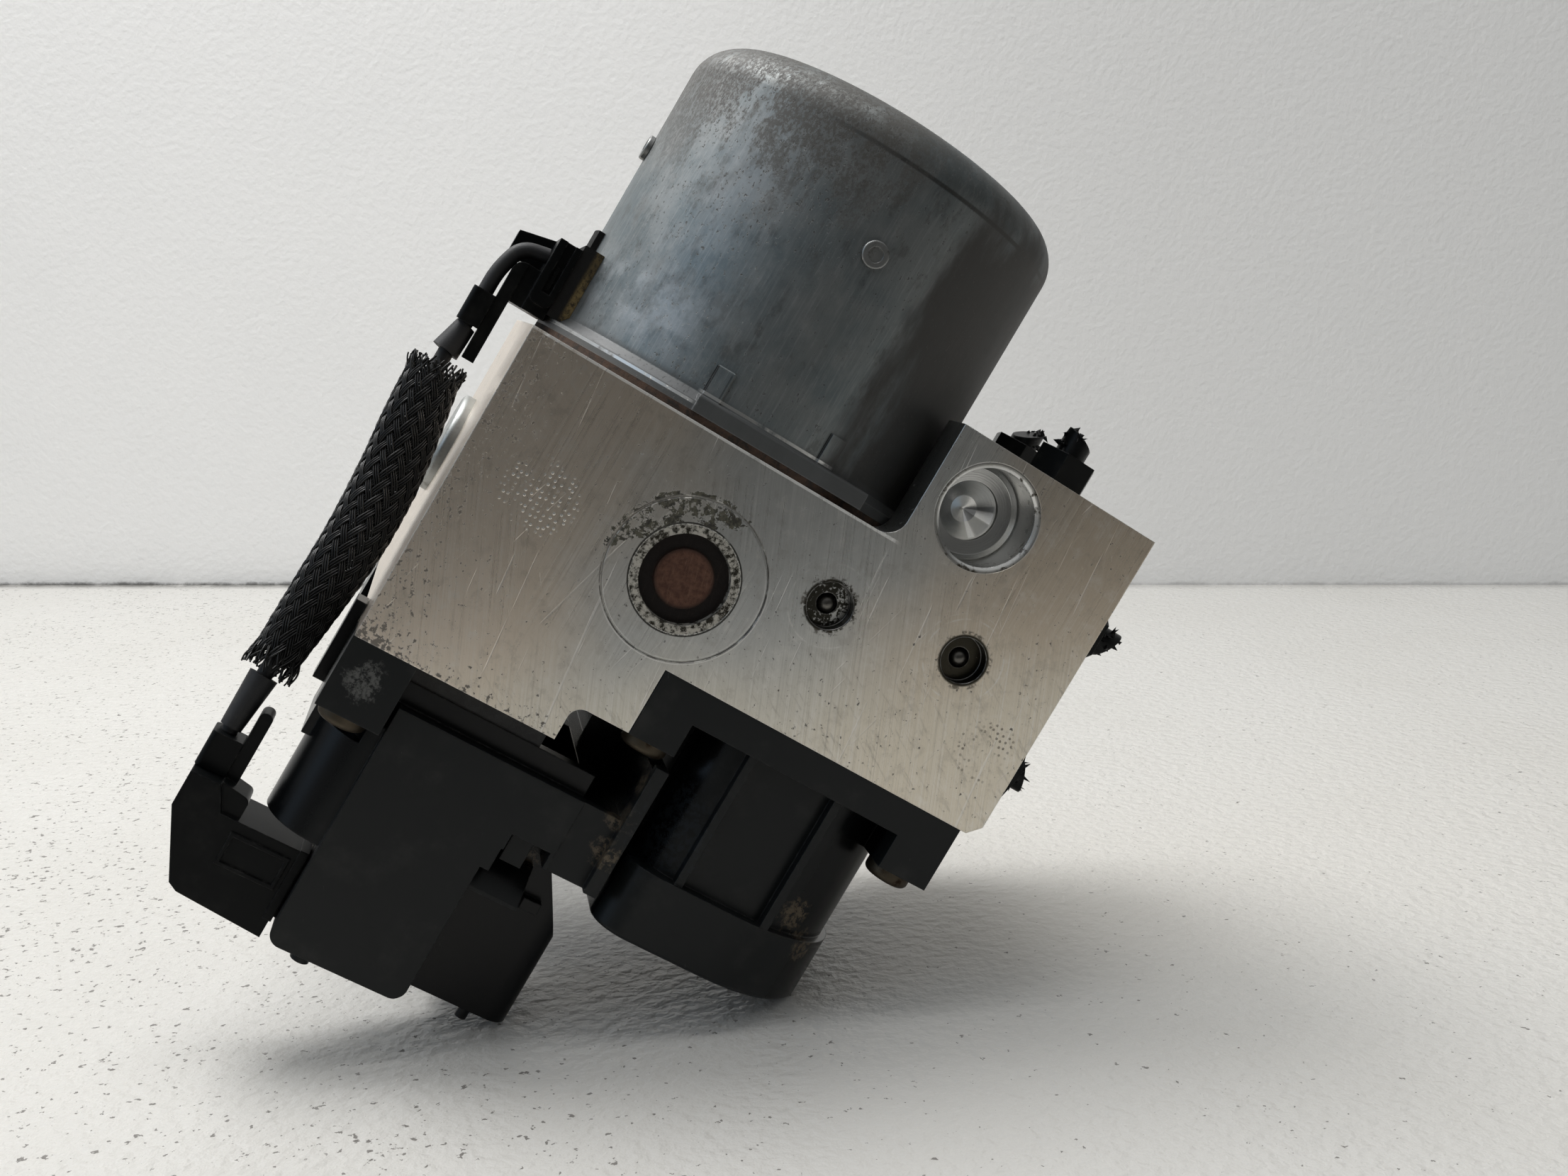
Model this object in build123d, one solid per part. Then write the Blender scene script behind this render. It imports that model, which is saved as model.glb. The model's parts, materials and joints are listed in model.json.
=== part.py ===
from build123d import *
import os
from math import cos, pi, radians, sin, tan

os.makedirs("parts", exist_ok=True)

# A brake pressure unit: a machined valve block with a pump motor on top and a moulded
# control unit below. Sizes are millimetres. X runs along the block, Y to its back,
# Z up the motor shaft. The origin is midway between the two bracket holes in the rear face.

# Fits between pieces
touch_gap = 0.05
running_gap = 0.04
sliding_gap = 0.25
safe_gap = 0.3

# Valve block
block_left = -44.2
block_right = 73.2
block_depth = 82.0
seat_z = 24.8
raised_top_z = 49.0
raised_wall_x = 29.7
raised_foot_radius = 4.0
low_base_z = -35.7
high_base_z = -15.6
base_step_x = 5.2
notch_left_x = -5.7
notch_depth = 7.1
notch_radius = 2.6
block_corner_chamfer = 2.4
block_edge_chamfer = 0.4

front_y = -block_depth
axis_y = -block_depth / 2

# Motor can, drawn from sheet
can_radius = 40.0
can_wall = 2.0
can_top_z = 90.2
can_corner_radius = 8.0
flange_width = 2.2
flange_thickness = 1.8
flange_trim = 0.2
lip_x = (-14.0, 21.0)
lip_height = 3.2
lip_depth = 5.8
gasket_thickness = 1.3
can_scoop_gap = 0.9

gasket_top_z = seat_z + gasket_thickness
flange_top_z = gasket_top_z + flange_thickness
flange_radius = can_radius + flange_width
can_inner_radius = can_radius - can_wall
can_inside_z = can_top_z - can_wall

# Rotor
shaft_radius = 5.0
shaft_nose_radius = 4.0
eccentric_radius = 6.5
eccentric_offset = 1.0
eccentric_ring_radius = 9.0
eccentric_height = 15.0
magnet_thickness = 9.45
magnet_air_gap = 1.0
core_height = 24.0
core_base_z = 45.0
core_slots = 12
core_slot_width = 3.2
winding_setback = 2.5
winding_inner_radius = 13.0
winding_height = 5.0
commutator_radius = 10.5
commutator_base_z = 31.4
commutator_height = 7.4
commutator_bars = 12
magnet_count = 4
magnet_slot_width = 7.0

magnet_inner_radius = can_inner_radius - touch_gap - magnet_thickness
core_radius = magnet_inner_radius - magnet_air_gap
winding_outer_radius = core_radius - winding_setback

# Bearings
base_bearing_radius = 11.0
base_bearing_height = 8.0
top_bearing_radius = 8.0
top_bearing_height = 6.0
nose_bearing_radius = 7.5
nose_bearing_height = 6.0
bearing_boss_wall = 2.4

# Motor end plate and eccentric chamber
end_plate_thickness = 3.4
end_plate_boss_radius = 19.5
end_plate_boss_depth = 8.6
chamber_radius = 13.5
chamber_floor_z = -8.4

# Pump, one piston each side of the shaft
piston_radius = 4.5
pump_spring_length = 4.35
pump_plug_radius = 9.8
pump_plug_depth = 13.0
pump_plug_pocket = 4.0
pump_plug_rim = 1.6
pump_plug_dish = 1.6
pump_disc_radius = 5.4
pump_disc_proud = 0.5
pump_ring_radius = 14.9
pump_spring_radius = 4.0
pump_spring_wire = 1.1

# Bracket holes in the rear face
bracket_spacing = 64.0
bracket_hole_radius = 3.4
bracket_hole_depth = 11.0

# Damper cup in the raised corner, open to the front
cup_x = 42.5
cup_z = 36.7
cup_radius = 10.15
cup_wall = 1.05
cup_depth = 10.8
cup_floor = 1.0
cup_cone_radius = 5.7
cup_cone_depth = 4.4

# Ball plugs that close drilled passages
ball_radius = 1.9
ball_recess_radius = 4.35
ball_recess_depth = 2.8
ball_front_places = ((25.3, 8.7), (52.6, 12.2))
ball_rear_places = ((46.0, 20.0), (-14.0, 14.0))
passage_radius = 1.5
passage_depth = 18.0

# Ports and their plastic transport plugs
port_radius = 4.6
port_depth = 13.0
plug_across_flats = 11.3
plug_flange_radius = 6.9
plug_flange_height = 1.2
plug_hex_height = 6.1
plug_thread_length = 10.0
stem_radius = 3.1
inlet_x = 58.5
inlet_ys = (-60.0, -33.5)
outlet_ys = (-63.0, -33.0)
outlet_zs = (28.5, -2.8)

# Low pressure accumulators
accumulator_radius = 9.0
accumulator_depth = 24.0
accumulator_piston_length = 8.0
accumulator_cap_radius = 10.5
accumulator_cap_thickness = 2.4
accumulator_cap_plug = 3.0
side_accumulator_y = -26.0
side_accumulator_z = -4.0
rear_accumulator_x = -26.5
rear_accumulator_z = -23.0
accumulator_spring_wire = 1.4

# Solenoid valves, in two rows
valve_xs = (18.0, 32.0, 46.0, 60.0)
valve_ys = (front_y + 47.0, front_y + 61.0)
valve_collar_radius = 4.5
valve_collar_height = 7.0
valve_dome_radius = 3.9
valve_dome_z = -37.0
valve_wall = 1.2
plunger_length = 9.0
plunger_stroke = 0.3
coil_radius = 6.4
coil_height = 17.0
coil_top_gap = 2.0

# Control unit, one moulding
ecu_left = block_left + 0.7
ecu_right = 69.6
ecu_flange_left = 5.4
ecu_flange_thickness = 6.4
ear_depth = 12.0
left_ear_width = 12.0
left_ear_base_z = -49.2
mid_ear_width = 9.2
mid_ear_base_z = -28.7
right_ear_width = 10.4
right_ear_base_z = -28.9
deck_top_z = -43.8
deck_front_y = front_y + 2.0
deck_back_y = -11.5
deck_base_z = -58.0
relay_floor_z = -49.0
deck_right = 12.9
tub_base_z = -50.5
tub_front_y = front_y + 37.0
rim_top_z = -39.6
rim_front_y = front_y + 6.0
rim_wall = 3.2
seal_width = 2.4
chamber_wall = 2.5
cover_thickness = 2.5
hood_left = -31.5
hood_right = -5.3
hood_back_y = front_y + 25.0
hood_base_z = -91.3
hood_corner_radius = 2.6
hood_step_z = -62.6
hood_step_width = 1.7
column_left = -42.5
column_right = -30.5
column_front_y = front_y + 4.6
column_back_y = front_y + 16.0
column_base_z = -72.8
column_radius = 11.0
deck_panel_step = 0.4
left_edge_lug = 2.2
lug_y = (front_y + 16.0, front_y + 22.0)
lug_foot_drop = 1.0
lug_head_rise = 2.6

# Small connector beside the hood, set back behind the deck's face
small_right = 16.0
small_front_y = front_y + 10.8
small_back_y = front_y + 34.0
small_base_z = -91.0
small_slant_z = -72.6
small_slant_x = 7.1
small_corner_radius = 4.5
socket_wall = 2.4
small_socket_roof_z = -72.0
catch_right = 4.6
catch_top_z = -60.5
catch_base_z = -67.4
catch_proud = 8.0
deck_notch_left = -3.2
deck_notch_height = 3.2
deck_notch_depth = 2.4
keeper_width = 4.2
key_x = 6.0
key_width = 3.6
key_top_z = -66.2
key_height = 2.2
foot_peg_height = 1.9
small_peg_radius = 1.2
small_peg_x = 7.6
hood_peg_radius = 1.8
hood_peg_inset_x = 7.2
hood_peg_inset_y = 4.0

# Large connector
large_left = 19.5
large_right = 65.2
large_front_y = front_y + 3.5
large_back_y = front_y + 37.0
large_left_radius = 9.0
large_right_radius = 23.0
collar_top_z = -49.5
collar_base_z = -62.8
collar_left = 17.4
collar_right = 66.3
collar_front_y = front_y + 0.4
collar_left_radius = 7.0
collar_right_radius = 26.0
collar_back_radius = 5.0
collar_edge_radius = 0.8
large_socket_roof_z = -44.0
rib_xs = (28.0, 46.5)
rib_width = 1.7
rib_proud = 2.2
web_wall = 2.6
neck_front_y = front_y + 16.0
neck_overlap = 12.0

# Pins
pin_size = 0.9
pin_length = 14.0
pin_root = 4.0
pin_pitch = 3.6
pin_columns = 9
pin_ys = (front_y + 12.0, front_y + 18.0, front_y + 24.0)
blade_width = 3.2
blade_thickness = 0.8
blade_xs = (0.0, 6.0, 12.0)
blade_ys = (front_y + 17.0, front_y + 25.0)

# Circuit board
board_thickness = 1.6
board_top_z = -43.5
chip_front_y = front_y + 49.0
chip_height = 2.2

# Screws that hold the control unit
screw_radius = 2.5
screw_engagement = 7.0
screw_head_radius = 4.5
screw_head_height = 2.6
screw_inset_y = 6.0
left_screw_x = block_left + 5.3
mid_screw_x = 10.0
right_screw_x = 63.8
drive_radius = 2.1
drive_depth = 1.2

# Motor screws at the back of the flange
motor_screw_radius = 2.0
motor_screw_length = 12.0
motor_screw_head_radius = 3.3
motor_screw_head_height = 3.0
motor_screw_xs = (-32.0, 29.0)
motor_screw_y = axis_y + 34.0
motor_ear_radius = 4.3
ear_reach = 0.9
flare_height = 1.6
flare_width = 1.2

# Magnet rivets round the can
rivet_z = 65.4
rivet_radius = 2.5
rivet_height = 1.1
rivet_shank_radius = 1.3

# Upper connector on the can and the lead to the control unit
head_front_y = axis_y - 13.0
head_back_y = axis_y + 13.0
head_left = -can_radius - 9.4
head_base_z = 26.6
head_top_z = 41.4
head_face_left = -can_radius - 6.4
rear_block_left = -can_radius - 13.4
rear_block_base_z = 34.4
rear_block_low_z = 39.5
rear_block_high_z = 41.2
rear_block_front_y = axis_y + 0.5
pad_thickness = 1.9
pad_top_z = 42.6
pad_tongue_thickness = 1.2
pad_tongue_top_z = 46.8
pad_tongue_y = (axis_y - 6.0, axis_y + 6.0)
terminal_width = 5.0
terminal_thickness = 0.8
terminal_ys = (axis_y - 6.0, axis_y + 6.0)
terminal_z = 33.6
cable_radius = 1.5
clip_width = 4.6
clip_height = 6.9
boot_tip_radius = 2.0
boot_root_radius = 2.7
sleeve_radius = 5.3
arm_width = 2.4
arm_depth = 5.0
arm_setback = 3.5
arm_left = -can_radius - 11.3
arm_base_z = 13.2
arm_elbow_z = 31.6
arm_elbow_radius = 2.2
upper_clip_point = 3
lower_clip_place = (-54.4, -66.9, -68.0)

# The lead's route, from the upper connector down to the plug
lead_points = (
    (-46.5, -47.0, 37.6),
    (-51.6, -47.2, 36.4),
    (-53.4, -47.5, 30.6),
    (-53.4, -48.0, 22.6),
    (-54.4, -48.8, 11.6),
    (-53.4, -50.8, 0.4),
    (-51.9, -53.4, -11.6),
    (-51.5, -56.8, -25.0),
    (-52.6, -61.0, -38.6),
    (-53.7, -64.6, -52.4),
    (-54.3, -66.8, -66.0),
    (-54.4, -67.0, -74.4),
)
sleeve_first = 4
sleeve_last = 9

# Plug of the lead
plug_front_y = front_y + 8.0
plug_back_y = front_y + 22.0
plug_left = -56.5
plug_neck_z = -71.6
plug_shoulder_x = -45.2
plug_shoulder_top_z = -71.2
plug_shoulder_y = (front_y + 9.0, front_y + 16.0)
plug_top_z = -76.2
plug_base_z = -92.2
plug_base_drop = 1.3
plug_panel_x = (-45.4, -34.2)
plug_panel_z = (-84.6, -78.2)
plug_panel_rim = 0.7
plug_chamfer_z = -78.4
plug_chamfer_x = -50.4
plug_collar_thickness = 0.8
plug_nose_length = 10.0
plug_nose_base_z = -89.6
plug_nose_top_z = -79.4
plug_arm_x = -50.9
plug_arm_front_y = front_y + 12.0
plug_arm_top_z = -57.8


# Basic solids between named limits

def bar(x, y, z):
    centre = ((x[0] + x[1]) / 2, (y[0] + y[1]) / 2, (z[0] + z[1]) / 2)
    return Pos(*centre) * Box(x[1] - x[0], y[1] - y[0], z[1] - z[0])


def rod_x(radius, x, y, z):
    return Pos((x[0] + x[1]) / 2, y, z) * Rot(0, 90, 0) * Cylinder(radius, x[1] - x[0])


def rod_y(radius, x, y, z):
    return Pos(x, (y[0] + y[1]) / 2, z) * Rot(90, 0, 0) * Cylinder(radius, y[1] - y[0])


def rod_z(radius, x, y, z):
    return Pos(x, y, (z[0] + z[1]) / 2) * Cylinder(radius, z[1] - z[0])


def ring_z(outer, inner, x, y, z):
    return rod_z(outer, x, y, z) - rod_z(inner, x, y, z)


def outline(points):
    return make_face(Polyline(*points, close=True))


def side_extrusion(points, y):
    """A solid with an outline in X and Z, between two depths."""
    face = Plane.XZ * outline(points)
    return Pos(0, y[1], 0) * extrude(face, y[1] - y[0])


def plan_column(x, y, z, front_left, front_right, back_left, back_right):
    """An upright column with a rectangular plan and a radius of its own at each corner."""
    plan = Pos((x[0] + x[1]) / 2, (y[0] + y[1]) / 2) * Rectangle(x[1] - x[0], y[1] - y[0])
    corners = plan.vertices().sort_by(Axis.Y)
    front = corners[:2].sort_by(Axis.X)
    back = corners[2:].sort_by(Axis.X)
    for corner, radius in zip((*front, *back), (front_left, front_right, back_left, back_right)):
        if radius > 0:
            same = [v for v in plan.vertices() if (v.center() - corner.center()).length < 0.01]
            plan = fillet(same, radius)
    return Pos(0, 0, z[0]) * extrude(plan, z[1] - z[0])


def edges_at(solid, axis, x=None, y=None, z=None):
    """The straight edges along an axis that lie at the given coordinates."""
    found = []
    for edge in solid.edges().filter_by(axis):
        middle = edge.center()
        if x is not None and abs(middle.X - x) > 0.02:
            continue
        if y is not None and abs(middle.Y - y) > 0.02:
            continue
        if z is not None and abs(middle.Z - z) > 0.02:
            continue
        found.append(edge)
    return found


def group(solids):
    return Compound(children=list(solids))


def write(name, shape):
    shape.label = name
    export_step(shape, f"parts/{name}.step")


# Places that several pieces share

screw_front_y = front_y + screw_inset_y
screw_back_y = -screw_inset_y
screw_places = (
    (left_screw_x, screw_front_y, left_ear_base_z, low_base_z),
    (left_screw_x, screw_back_y, left_ear_base_z, low_base_z),
    (mid_screw_x, screw_front_y, mid_ear_base_z, high_base_z),
    (right_screw_x, screw_front_y, right_ear_base_z, high_base_z),
    (right_screw_x, screw_back_y, right_ear_base_z, high_base_z),
)
valve_places = [(x, y) for y in valve_ys for x in valve_xs]
piston_rest = eccentric_ring_radius + eccentric_offset + safe_gap
pocket_end = block_depth / 2 - pump_plug_depth + pump_plug_pocket - touch_gap
piston_length = pocket_end - pump_spring_length - safe_gap - piston_rest


# The valve block

def block_body():
    points = (
        (block_left, low_base_z),
        (block_left, seat_z),
        (raised_wall_x, seat_z),
        (raised_wall_x, raised_top_z),
        (block_right, raised_top_z),
        (block_right, high_base_z),
        (base_step_x, high_base_z),
        (base_step_x, low_base_z + notch_depth),
        (notch_left_x, low_base_z + notch_depth),
        (notch_left_x, low_base_z),
    )
    body = side_extrusion(points, (front_y, 0))
    body = fillet(edges_at(body, Axis.Y, x=raised_wall_x, z=seat_z), raised_foot_radius)
    body = fillet(edges_at(body, Axis.Y, x=notch_left_x, z=low_base_z + notch_depth), notch_radius)
    return chamfer(edges_at(body, Axis.Y, x=block_right, z=high_base_z), block_corner_chamfer)


def can_scoop():
    """The milled hollow in the raised part that the motor can and its ear stand in."""
    depth = (seat_z, raised_top_z + 1)
    scoop = rod_z(flange_radius + can_scoop_gap, 0, axis_y, depth)
    return scoop + rod_z(motor_ear_radius + can_scoop_gap, motor_screw_xs[1], motor_screw_y, depth)


def motor_well():
    recess = rod_z(end_plate_boss_radius + sliding_gap, 0, axis_y,
                   (gasket_top_z - end_plate_boss_depth - safe_gap, seat_z + 1))
    chamber = rod_z(chamber_radius, 0, axis_y, (chamber_floor_z, seat_z))
    nose_top = chamber_floor_z
    nose = rod_z(nose_bearing_radius, 0, axis_y, (nose_top - nose_bearing_height, nose_top))
    return recess + chamber + nose


def pump_bores():
    through = rod_y(piston_radius + running_gap, 0, (front_y, 0), 0)
    front = rod_y(pump_plug_radius, 0, (front_y - 1, front_y + pump_plug_depth), 0)
    rear = rod_y(pump_plug_radius, 0, (-pump_plug_depth, 1), 0)
    return through + front + rear


def scribed_ring(y):
    """A fine turned groove round the front pump plug."""
    groove = 0.35
    outer = rod_y(pump_ring_radius, 0, (y - groove, y + groove), 0)
    return outer - rod_y(pump_ring_radius - groove, 0, (y - 2 * groove, y + 2 * groove), 0)


def cup_bore():
    wide = rod_y(cup_radius, cup_x, (front_y - 1, front_y + cup_depth + cup_floor), cup_z)
    narrow_end = front_y + cup_depth + cup_cone_depth + cup_floor
    narrow = rod_y(cup_cone_radius + cup_floor, cup_x, (front_y, narrow_end), cup_z)
    return wide + narrow


def ball_bore(x, z, face_y, inward):
    """A recess with a passage behind it, cut inward from the front or the rear face."""
    def depth_range(start, end):
        ends = (face_y + inward * start, face_y + inward * end)
        return (min(ends), max(ends))
    recess = rod_y(ball_recess_radius, x, depth_range(-1, ball_recess_depth), z)
    seat = rod_y(ball_radius + touch_gap, x, depth_range(0, ball_recess_depth + 1.5 * ball_radius), z)
    passage = rod_y(passage_radius, x, depth_range(0, passage_depth), z)
    return recess + seat + passage


def port_bores():
    bores = [rod_z(port_radius, inlet_x, y, (raised_top_z - port_depth,
                                             raised_top_z + 1)) for y in inlet_ys]
    for y in outlet_ys:
        for z in outlet_zs:
            bores.append(rod_x(port_radius, (block_right - port_depth, block_right + 1), y, z))
    return bores


def accumulator_bores():
    side = rod_x(accumulator_radius, (block_left - 1, block_left + accumulator_depth),
                 side_accumulator_y, side_accumulator_z)
    rear = rod_y(accumulator_radius, rear_accumulator_x, (-accumulator_depth, 1), rear_accumulator_z)
    return side + rear


def valve_bores():
    depth = (high_base_z - 1, high_base_z + valve_collar_height)
    return [rod_z(valve_collar_radius, x, y, depth) for x, y in valve_places]


def block_screw_holes():
    radius = screw_radius + touch_gap
    holes = [rod_z(radius, x, y, (base - 1, base + screw_engagement + safe_gap))
             for x, y, _, base in screw_places]
    radius = motor_screw_radius + touch_gap
    depth = (seat_z - motor_screw_length, seat_z + 1)
    return holes + [rod_z(radius, x, motor_screw_y, depth) for x in motor_screw_xs]


def bracket_holes():
    half = bracket_spacing / 2
    return [rod_y(bracket_hole_radius, x, (-bracket_hole_depth, 1), 0) for x in (-half, half)]


def valve_block():
    block = block_body() - can_scoop() - motor_well() - pump_bores() - scribed_ring(front_y)
    block -= cup_bore()
    block -= accumulator_bores()
    for x, z in ball_front_places:
        block -= ball_bore(x, z, front_y, 1)
    for x, z in ball_rear_places:
        block -= ball_bore(x, z, 0, -1)
    for cut in port_bores() + valve_bores() + block_screw_holes() + bracket_holes():
        block -= cut
    return block


def ball_plugs():
    depth = ball_recess_depth + 0.4 * ball_radius
    balls = [Pos(x, front_y + depth, z) * Sphere(ball_radius) for x, z in ball_front_places]
    balls += [Pos(x, -depth, z) * Sphere(ball_radius) for x, z in ball_rear_places]
    return group(balls)


def damper_cup():
    """A turned thin-walled cup with a stepped cone in its floor."""
    outer, inner = cup_radius, cup_radius - cup_wall
    cone = cup_cone_radius
    back = cup_depth + cup_floor
    tip = cup_depth + cup_cone_depth
    points = (
        (0, tip), (cone * 0.45, tip - 0.9), (cone, cup_depth + 1.3), (cone, cup_depth + 0.25),
        (inner - 0.8, cup_depth), (inner, cup_depth - 0.8), (inner, 0.5), (outer - 0.3, 0),
        (outer, 0), (outer, back), (cone + cup_floor, back), (cone + cup_floor, tip + cup_floor),
        (0, tip + cup_floor),
    )
    cup = revolve(Plane.XZ * outline(points), Axis.Z)
    return Pos(cup_x, front_y, cup_z) * Rot(-90, 0, 0) * cup


def pump_plug():
    """A plug with a raised rim and a small disc in its dished face, facing minus Z."""
    deep = pump_plug_depth
    pocket = piston_radius + running_gap
    points = (
        (0, pump_plug_dish - pump_disc_proud), (pump_disc_radius, pump_plug_dish - pump_disc_proud),
        (pump_disc_radius, pump_plug_dish), (pump_plug_radius - pump_plug_rim, pump_plug_dish),
        (pump_plug_radius - pump_plug_rim, 0), (pump_plug_radius, 0), (pump_plug_radius, deep),
        (pocket, deep), (pocket, deep - pump_plug_pocket), (0, deep - pump_plug_pocket),
    )
    return revolve(Plane.XZ * outline(points), Axis.Z)


def pump_plugs():
    front = Pos(0, front_y, 0) * Rot(-90, 0, 0) * pump_plug()
    rear = Rot(90, 0, 0) * pump_plug()
    return group([front, rear])


def pump_piston(side):
    """A stepped piston that the eccentric pushes outward; side is -1 at the front, 1 at the rear."""
    start = axis_y + side * piston_rest
    end = start + side * piston_length
    body = rod_y(piston_radius, 0, sorted_pair(start, end), 0)
    neck_start = end - side * 3.0
    neck = rod_y(piston_radius, 0, sorted_pair(neck_start, end), 0)
    neck -= rod_y(piston_radius - 1.2, 0, sorted_pair(neck_start, end), 0)
    return body - neck


def sorted_pair(a, b):
    return (min(a, b), max(a, b))


def spring_sleeve_y(x, z, y, radius, wire):
    return rod_y(radius, x, y, z) - rod_y(radius - wire, x, y, z)


def pump_spring(side):
    """The return spring behind a piston, drawn as the sleeve that its coils fill."""
    start = axis_y + side * (piston_rest + piston_length + safe_gap)
    end = axis_y + side * pocket_end
    return spring_sleeve_y(0, 0, sorted_pair(start, end), pump_spring_radius, pump_spring_wire)


# Accumulators

accumulator_places = {
    "side": Pos(block_left, side_accumulator_y, side_accumulator_z) * Rot(0, 90, 0),
    "rear": Pos(rear_accumulator_x, 0, rear_accumulator_z) * Rot(90, 0, 0),
}


def accumulator_cap():
    """A cap with a plug behind it; the block's face is at zero and the bore runs along plus Z."""
    cap = Pos(0, 0, -accumulator_cap_thickness / 2) * Cylinder(accumulator_cap_radius,
                                                               accumulator_cap_thickness)
    cap = fillet(cap.edges().group_by(Axis.Z)[0], accumulator_cap_thickness / 2)
    plug = Pos(0, 0, accumulator_cap_plug / 2) * Cylinder(accumulator_radius - touch_gap,
                                                          accumulator_cap_plug)
    return cap + plug


def accumulator_piston():
    length = accumulator_piston_length
    top = accumulator_depth - safe_gap
    body = Pos(0, 0, top - length / 2) * Cylinder(accumulator_radius - running_gap, length)
    hollow = Pos(0, 0, top - length / 2 - 2.0) * Cylinder(accumulator_radius - 3.0, length)
    groove = Pos(0, 0, top - 3.0) * (Cylinder(accumulator_radius + 1,
                                              1.8) - Cylinder(accumulator_radius - 1.2, 1.8))
    return body - hollow - groove


def accumulator_spring():
    start = accumulator_cap_plug + touch_gap
    end = accumulator_depth - safe_gap - 2.0 - touch_gap
    outer = accumulator_radius - 3.3
    tube = Cylinder(outer, end - start) - Cylinder(outer - accumulator_spring_wire, end - start)
    return Pos(0, 0, (start + end) / 2) * tube


# The motor

def motor_gasket():
    disc = rod_z(flange_radius, 0, axis_y, (seat_z, gasket_top_z))
    disc += motor_ear_discs((seat_z, gasket_top_z), motor_ear_radius)
    disc &= flange_limits((seat_z - 1, gasket_top_z + 1))
    disc -= rod_z(end_plate_boss_radius + sliding_gap, 0, axis_y, (seat_z - 1, gasket_top_z + 1))
    for x in motor_screw_xs:
        disc -= rod_z(motor_screw_radius + sliding_gap, x, motor_screw_y, (seat_z - 1, gasket_top_z + 1))
    return disc


def flange_limits(z):
    """The flange is trimmed flush with the block's front, back and left faces."""
    return bar((block_left + flange_trim, block_right), (front_y + flange_trim, -flange_trim), z)


def motor_ear_discs(z, radius):
    """A rounded ear at each screw, joined to the flange by a second disc nearer the axis."""
    discs = []
    for x in motor_screw_xs:
        for share in (1.0, ear_reach):
            y = axis_y + (motor_screw_y - axis_y) * share
            discs.append(rod_z(radius, x * share, y, z))
    return discs[0] + discs[1:]


def can_profile():
    r, wall, corner = can_radius, can_wall, can_corner_radius
    boss_inner = top_bearing_radius + touch_gap
    boss_outer = boss_inner + bearing_boss_wall
    boss_base = can_inside_z - top_bearing_height - 3.0
    inner = can_inner_radius
    base = gasket_top_z
    return make_face([
        Line((0, can_top_z), (r - corner, can_top_z)),
        RadiusArc((r - corner, can_top_z), (r, can_top_z - corner), corner),
        Polyline((r, can_top_z - corner), (r, flange_top_z + flare_height), (r + flare_width, flange_top_z),
                 (flange_radius, flange_top_z), (flange_radius, base), (inner, base),
                 (inner, can_inside_z - corner + wall)),
        RadiusArc((inner, can_inside_z - corner + wall), (inner - corner + wall, can_inside_z),
                  -(corner - wall)),
        Polyline((inner - corner + wall, can_inside_z), (boss_outer, can_inside_z), (boss_outer, boss_base),
                 (boss_inner, boss_base), (boss_inner, can_inside_z), (0, can_inside_z), (0, can_top_z)),
    ])


def motor_can():
    can = Pos(0, axis_y, 0) * revolve(Plane.XZ * can_profile(), Axis.Z)
    flange = (gasket_top_z, flange_top_z)
    ears = motor_ear_discs(flange, motor_ear_radius) - rod_z(can_radius - 0.5, 0, axis_y, flange)
    wall_foot_z = flange_top_z + flare_height
    above = rod_z(flange_radius + 1, 0, axis_y, (wall_foot_z, can_top_z + 1))
    can = (can + ears) & (flange_limits((gasket_top_z - 1, wall_foot_z)) + above)
    lip_top_z = gasket_top_z + lip_height
    lip_front_y = max(front_y + flange_trim, axis_y - flange_radius)
    lip = bar(lip_x, (lip_front_y, lip_front_y + lip_depth), (gasket_top_z, lip_top_z))
    lip = fillet(edges_at(lip, Axis.X, y=lip_front_y, z=lip_top_z), 0.7)
    can += lip - rod_z(can_radius - 0.5, 0, axis_y, (gasket_top_z - 1, gasket_top_z + 5))
    for angle in (-107, -73):
        can += lanced_tab(angle)
    for x in motor_screw_xs:
        can -= rod_z(motor_screw_radius + sliding_gap, x, motor_screw_y,
                     (gasket_top_z - 1, flange_top_z + 1))
    for angle in range(0, 360, 90):
        hole = rod_x(rivet_shank_radius + touch_gap, (can_inner_radius - 1, can_radius + 1), 0, 0)
        can -= turn_round_can(angle) * hole
    window_z = (terminal_z - terminal_width, terminal_z + terminal_width)
    for y in terminal_ys:
        can -= bar((-can_radius - 1, -can_inner_radius + 3), (y - 2.0, y + 2.0), window_z)
    return can


def turn_round_can(angle):
    return Pos(0, axis_y, rivet_z) * Rot(0, 0, angle)


def lanced_tab(angle):
    """A small tab pressed out of the can's wall just above the flange."""
    tab = bar((can_radius - 1.0, can_radius + 0.55), (-1.7, 1.7), (0, 6.0))
    return Pos(0, axis_y, flange_top_z + 1.4) * Rot(0, 0, angle) * tab


def can_rivets():
    rivets = []
    for angle in range(0, 360, 90):
        head = rod_x(rivet_radius, (can_radius + 0.02, can_radius + rivet_height), 0, 0)
        head = fillet(head.edges().group_by(Axis.X)[-1], 0.35)
        dimple = rod_x(rivet_radius * 0.56, (can_radius + rivet_height - 0.35, can_radius + 2), 0, 0)
        shank = rod_x(rivet_shank_radius, (can_inner_radius + 0.05, can_radius + 0.5), 0, 0)
        rivets.append(turn_round_can(angle) * (head - dimple + shank))
    return group(rivets)


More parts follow.
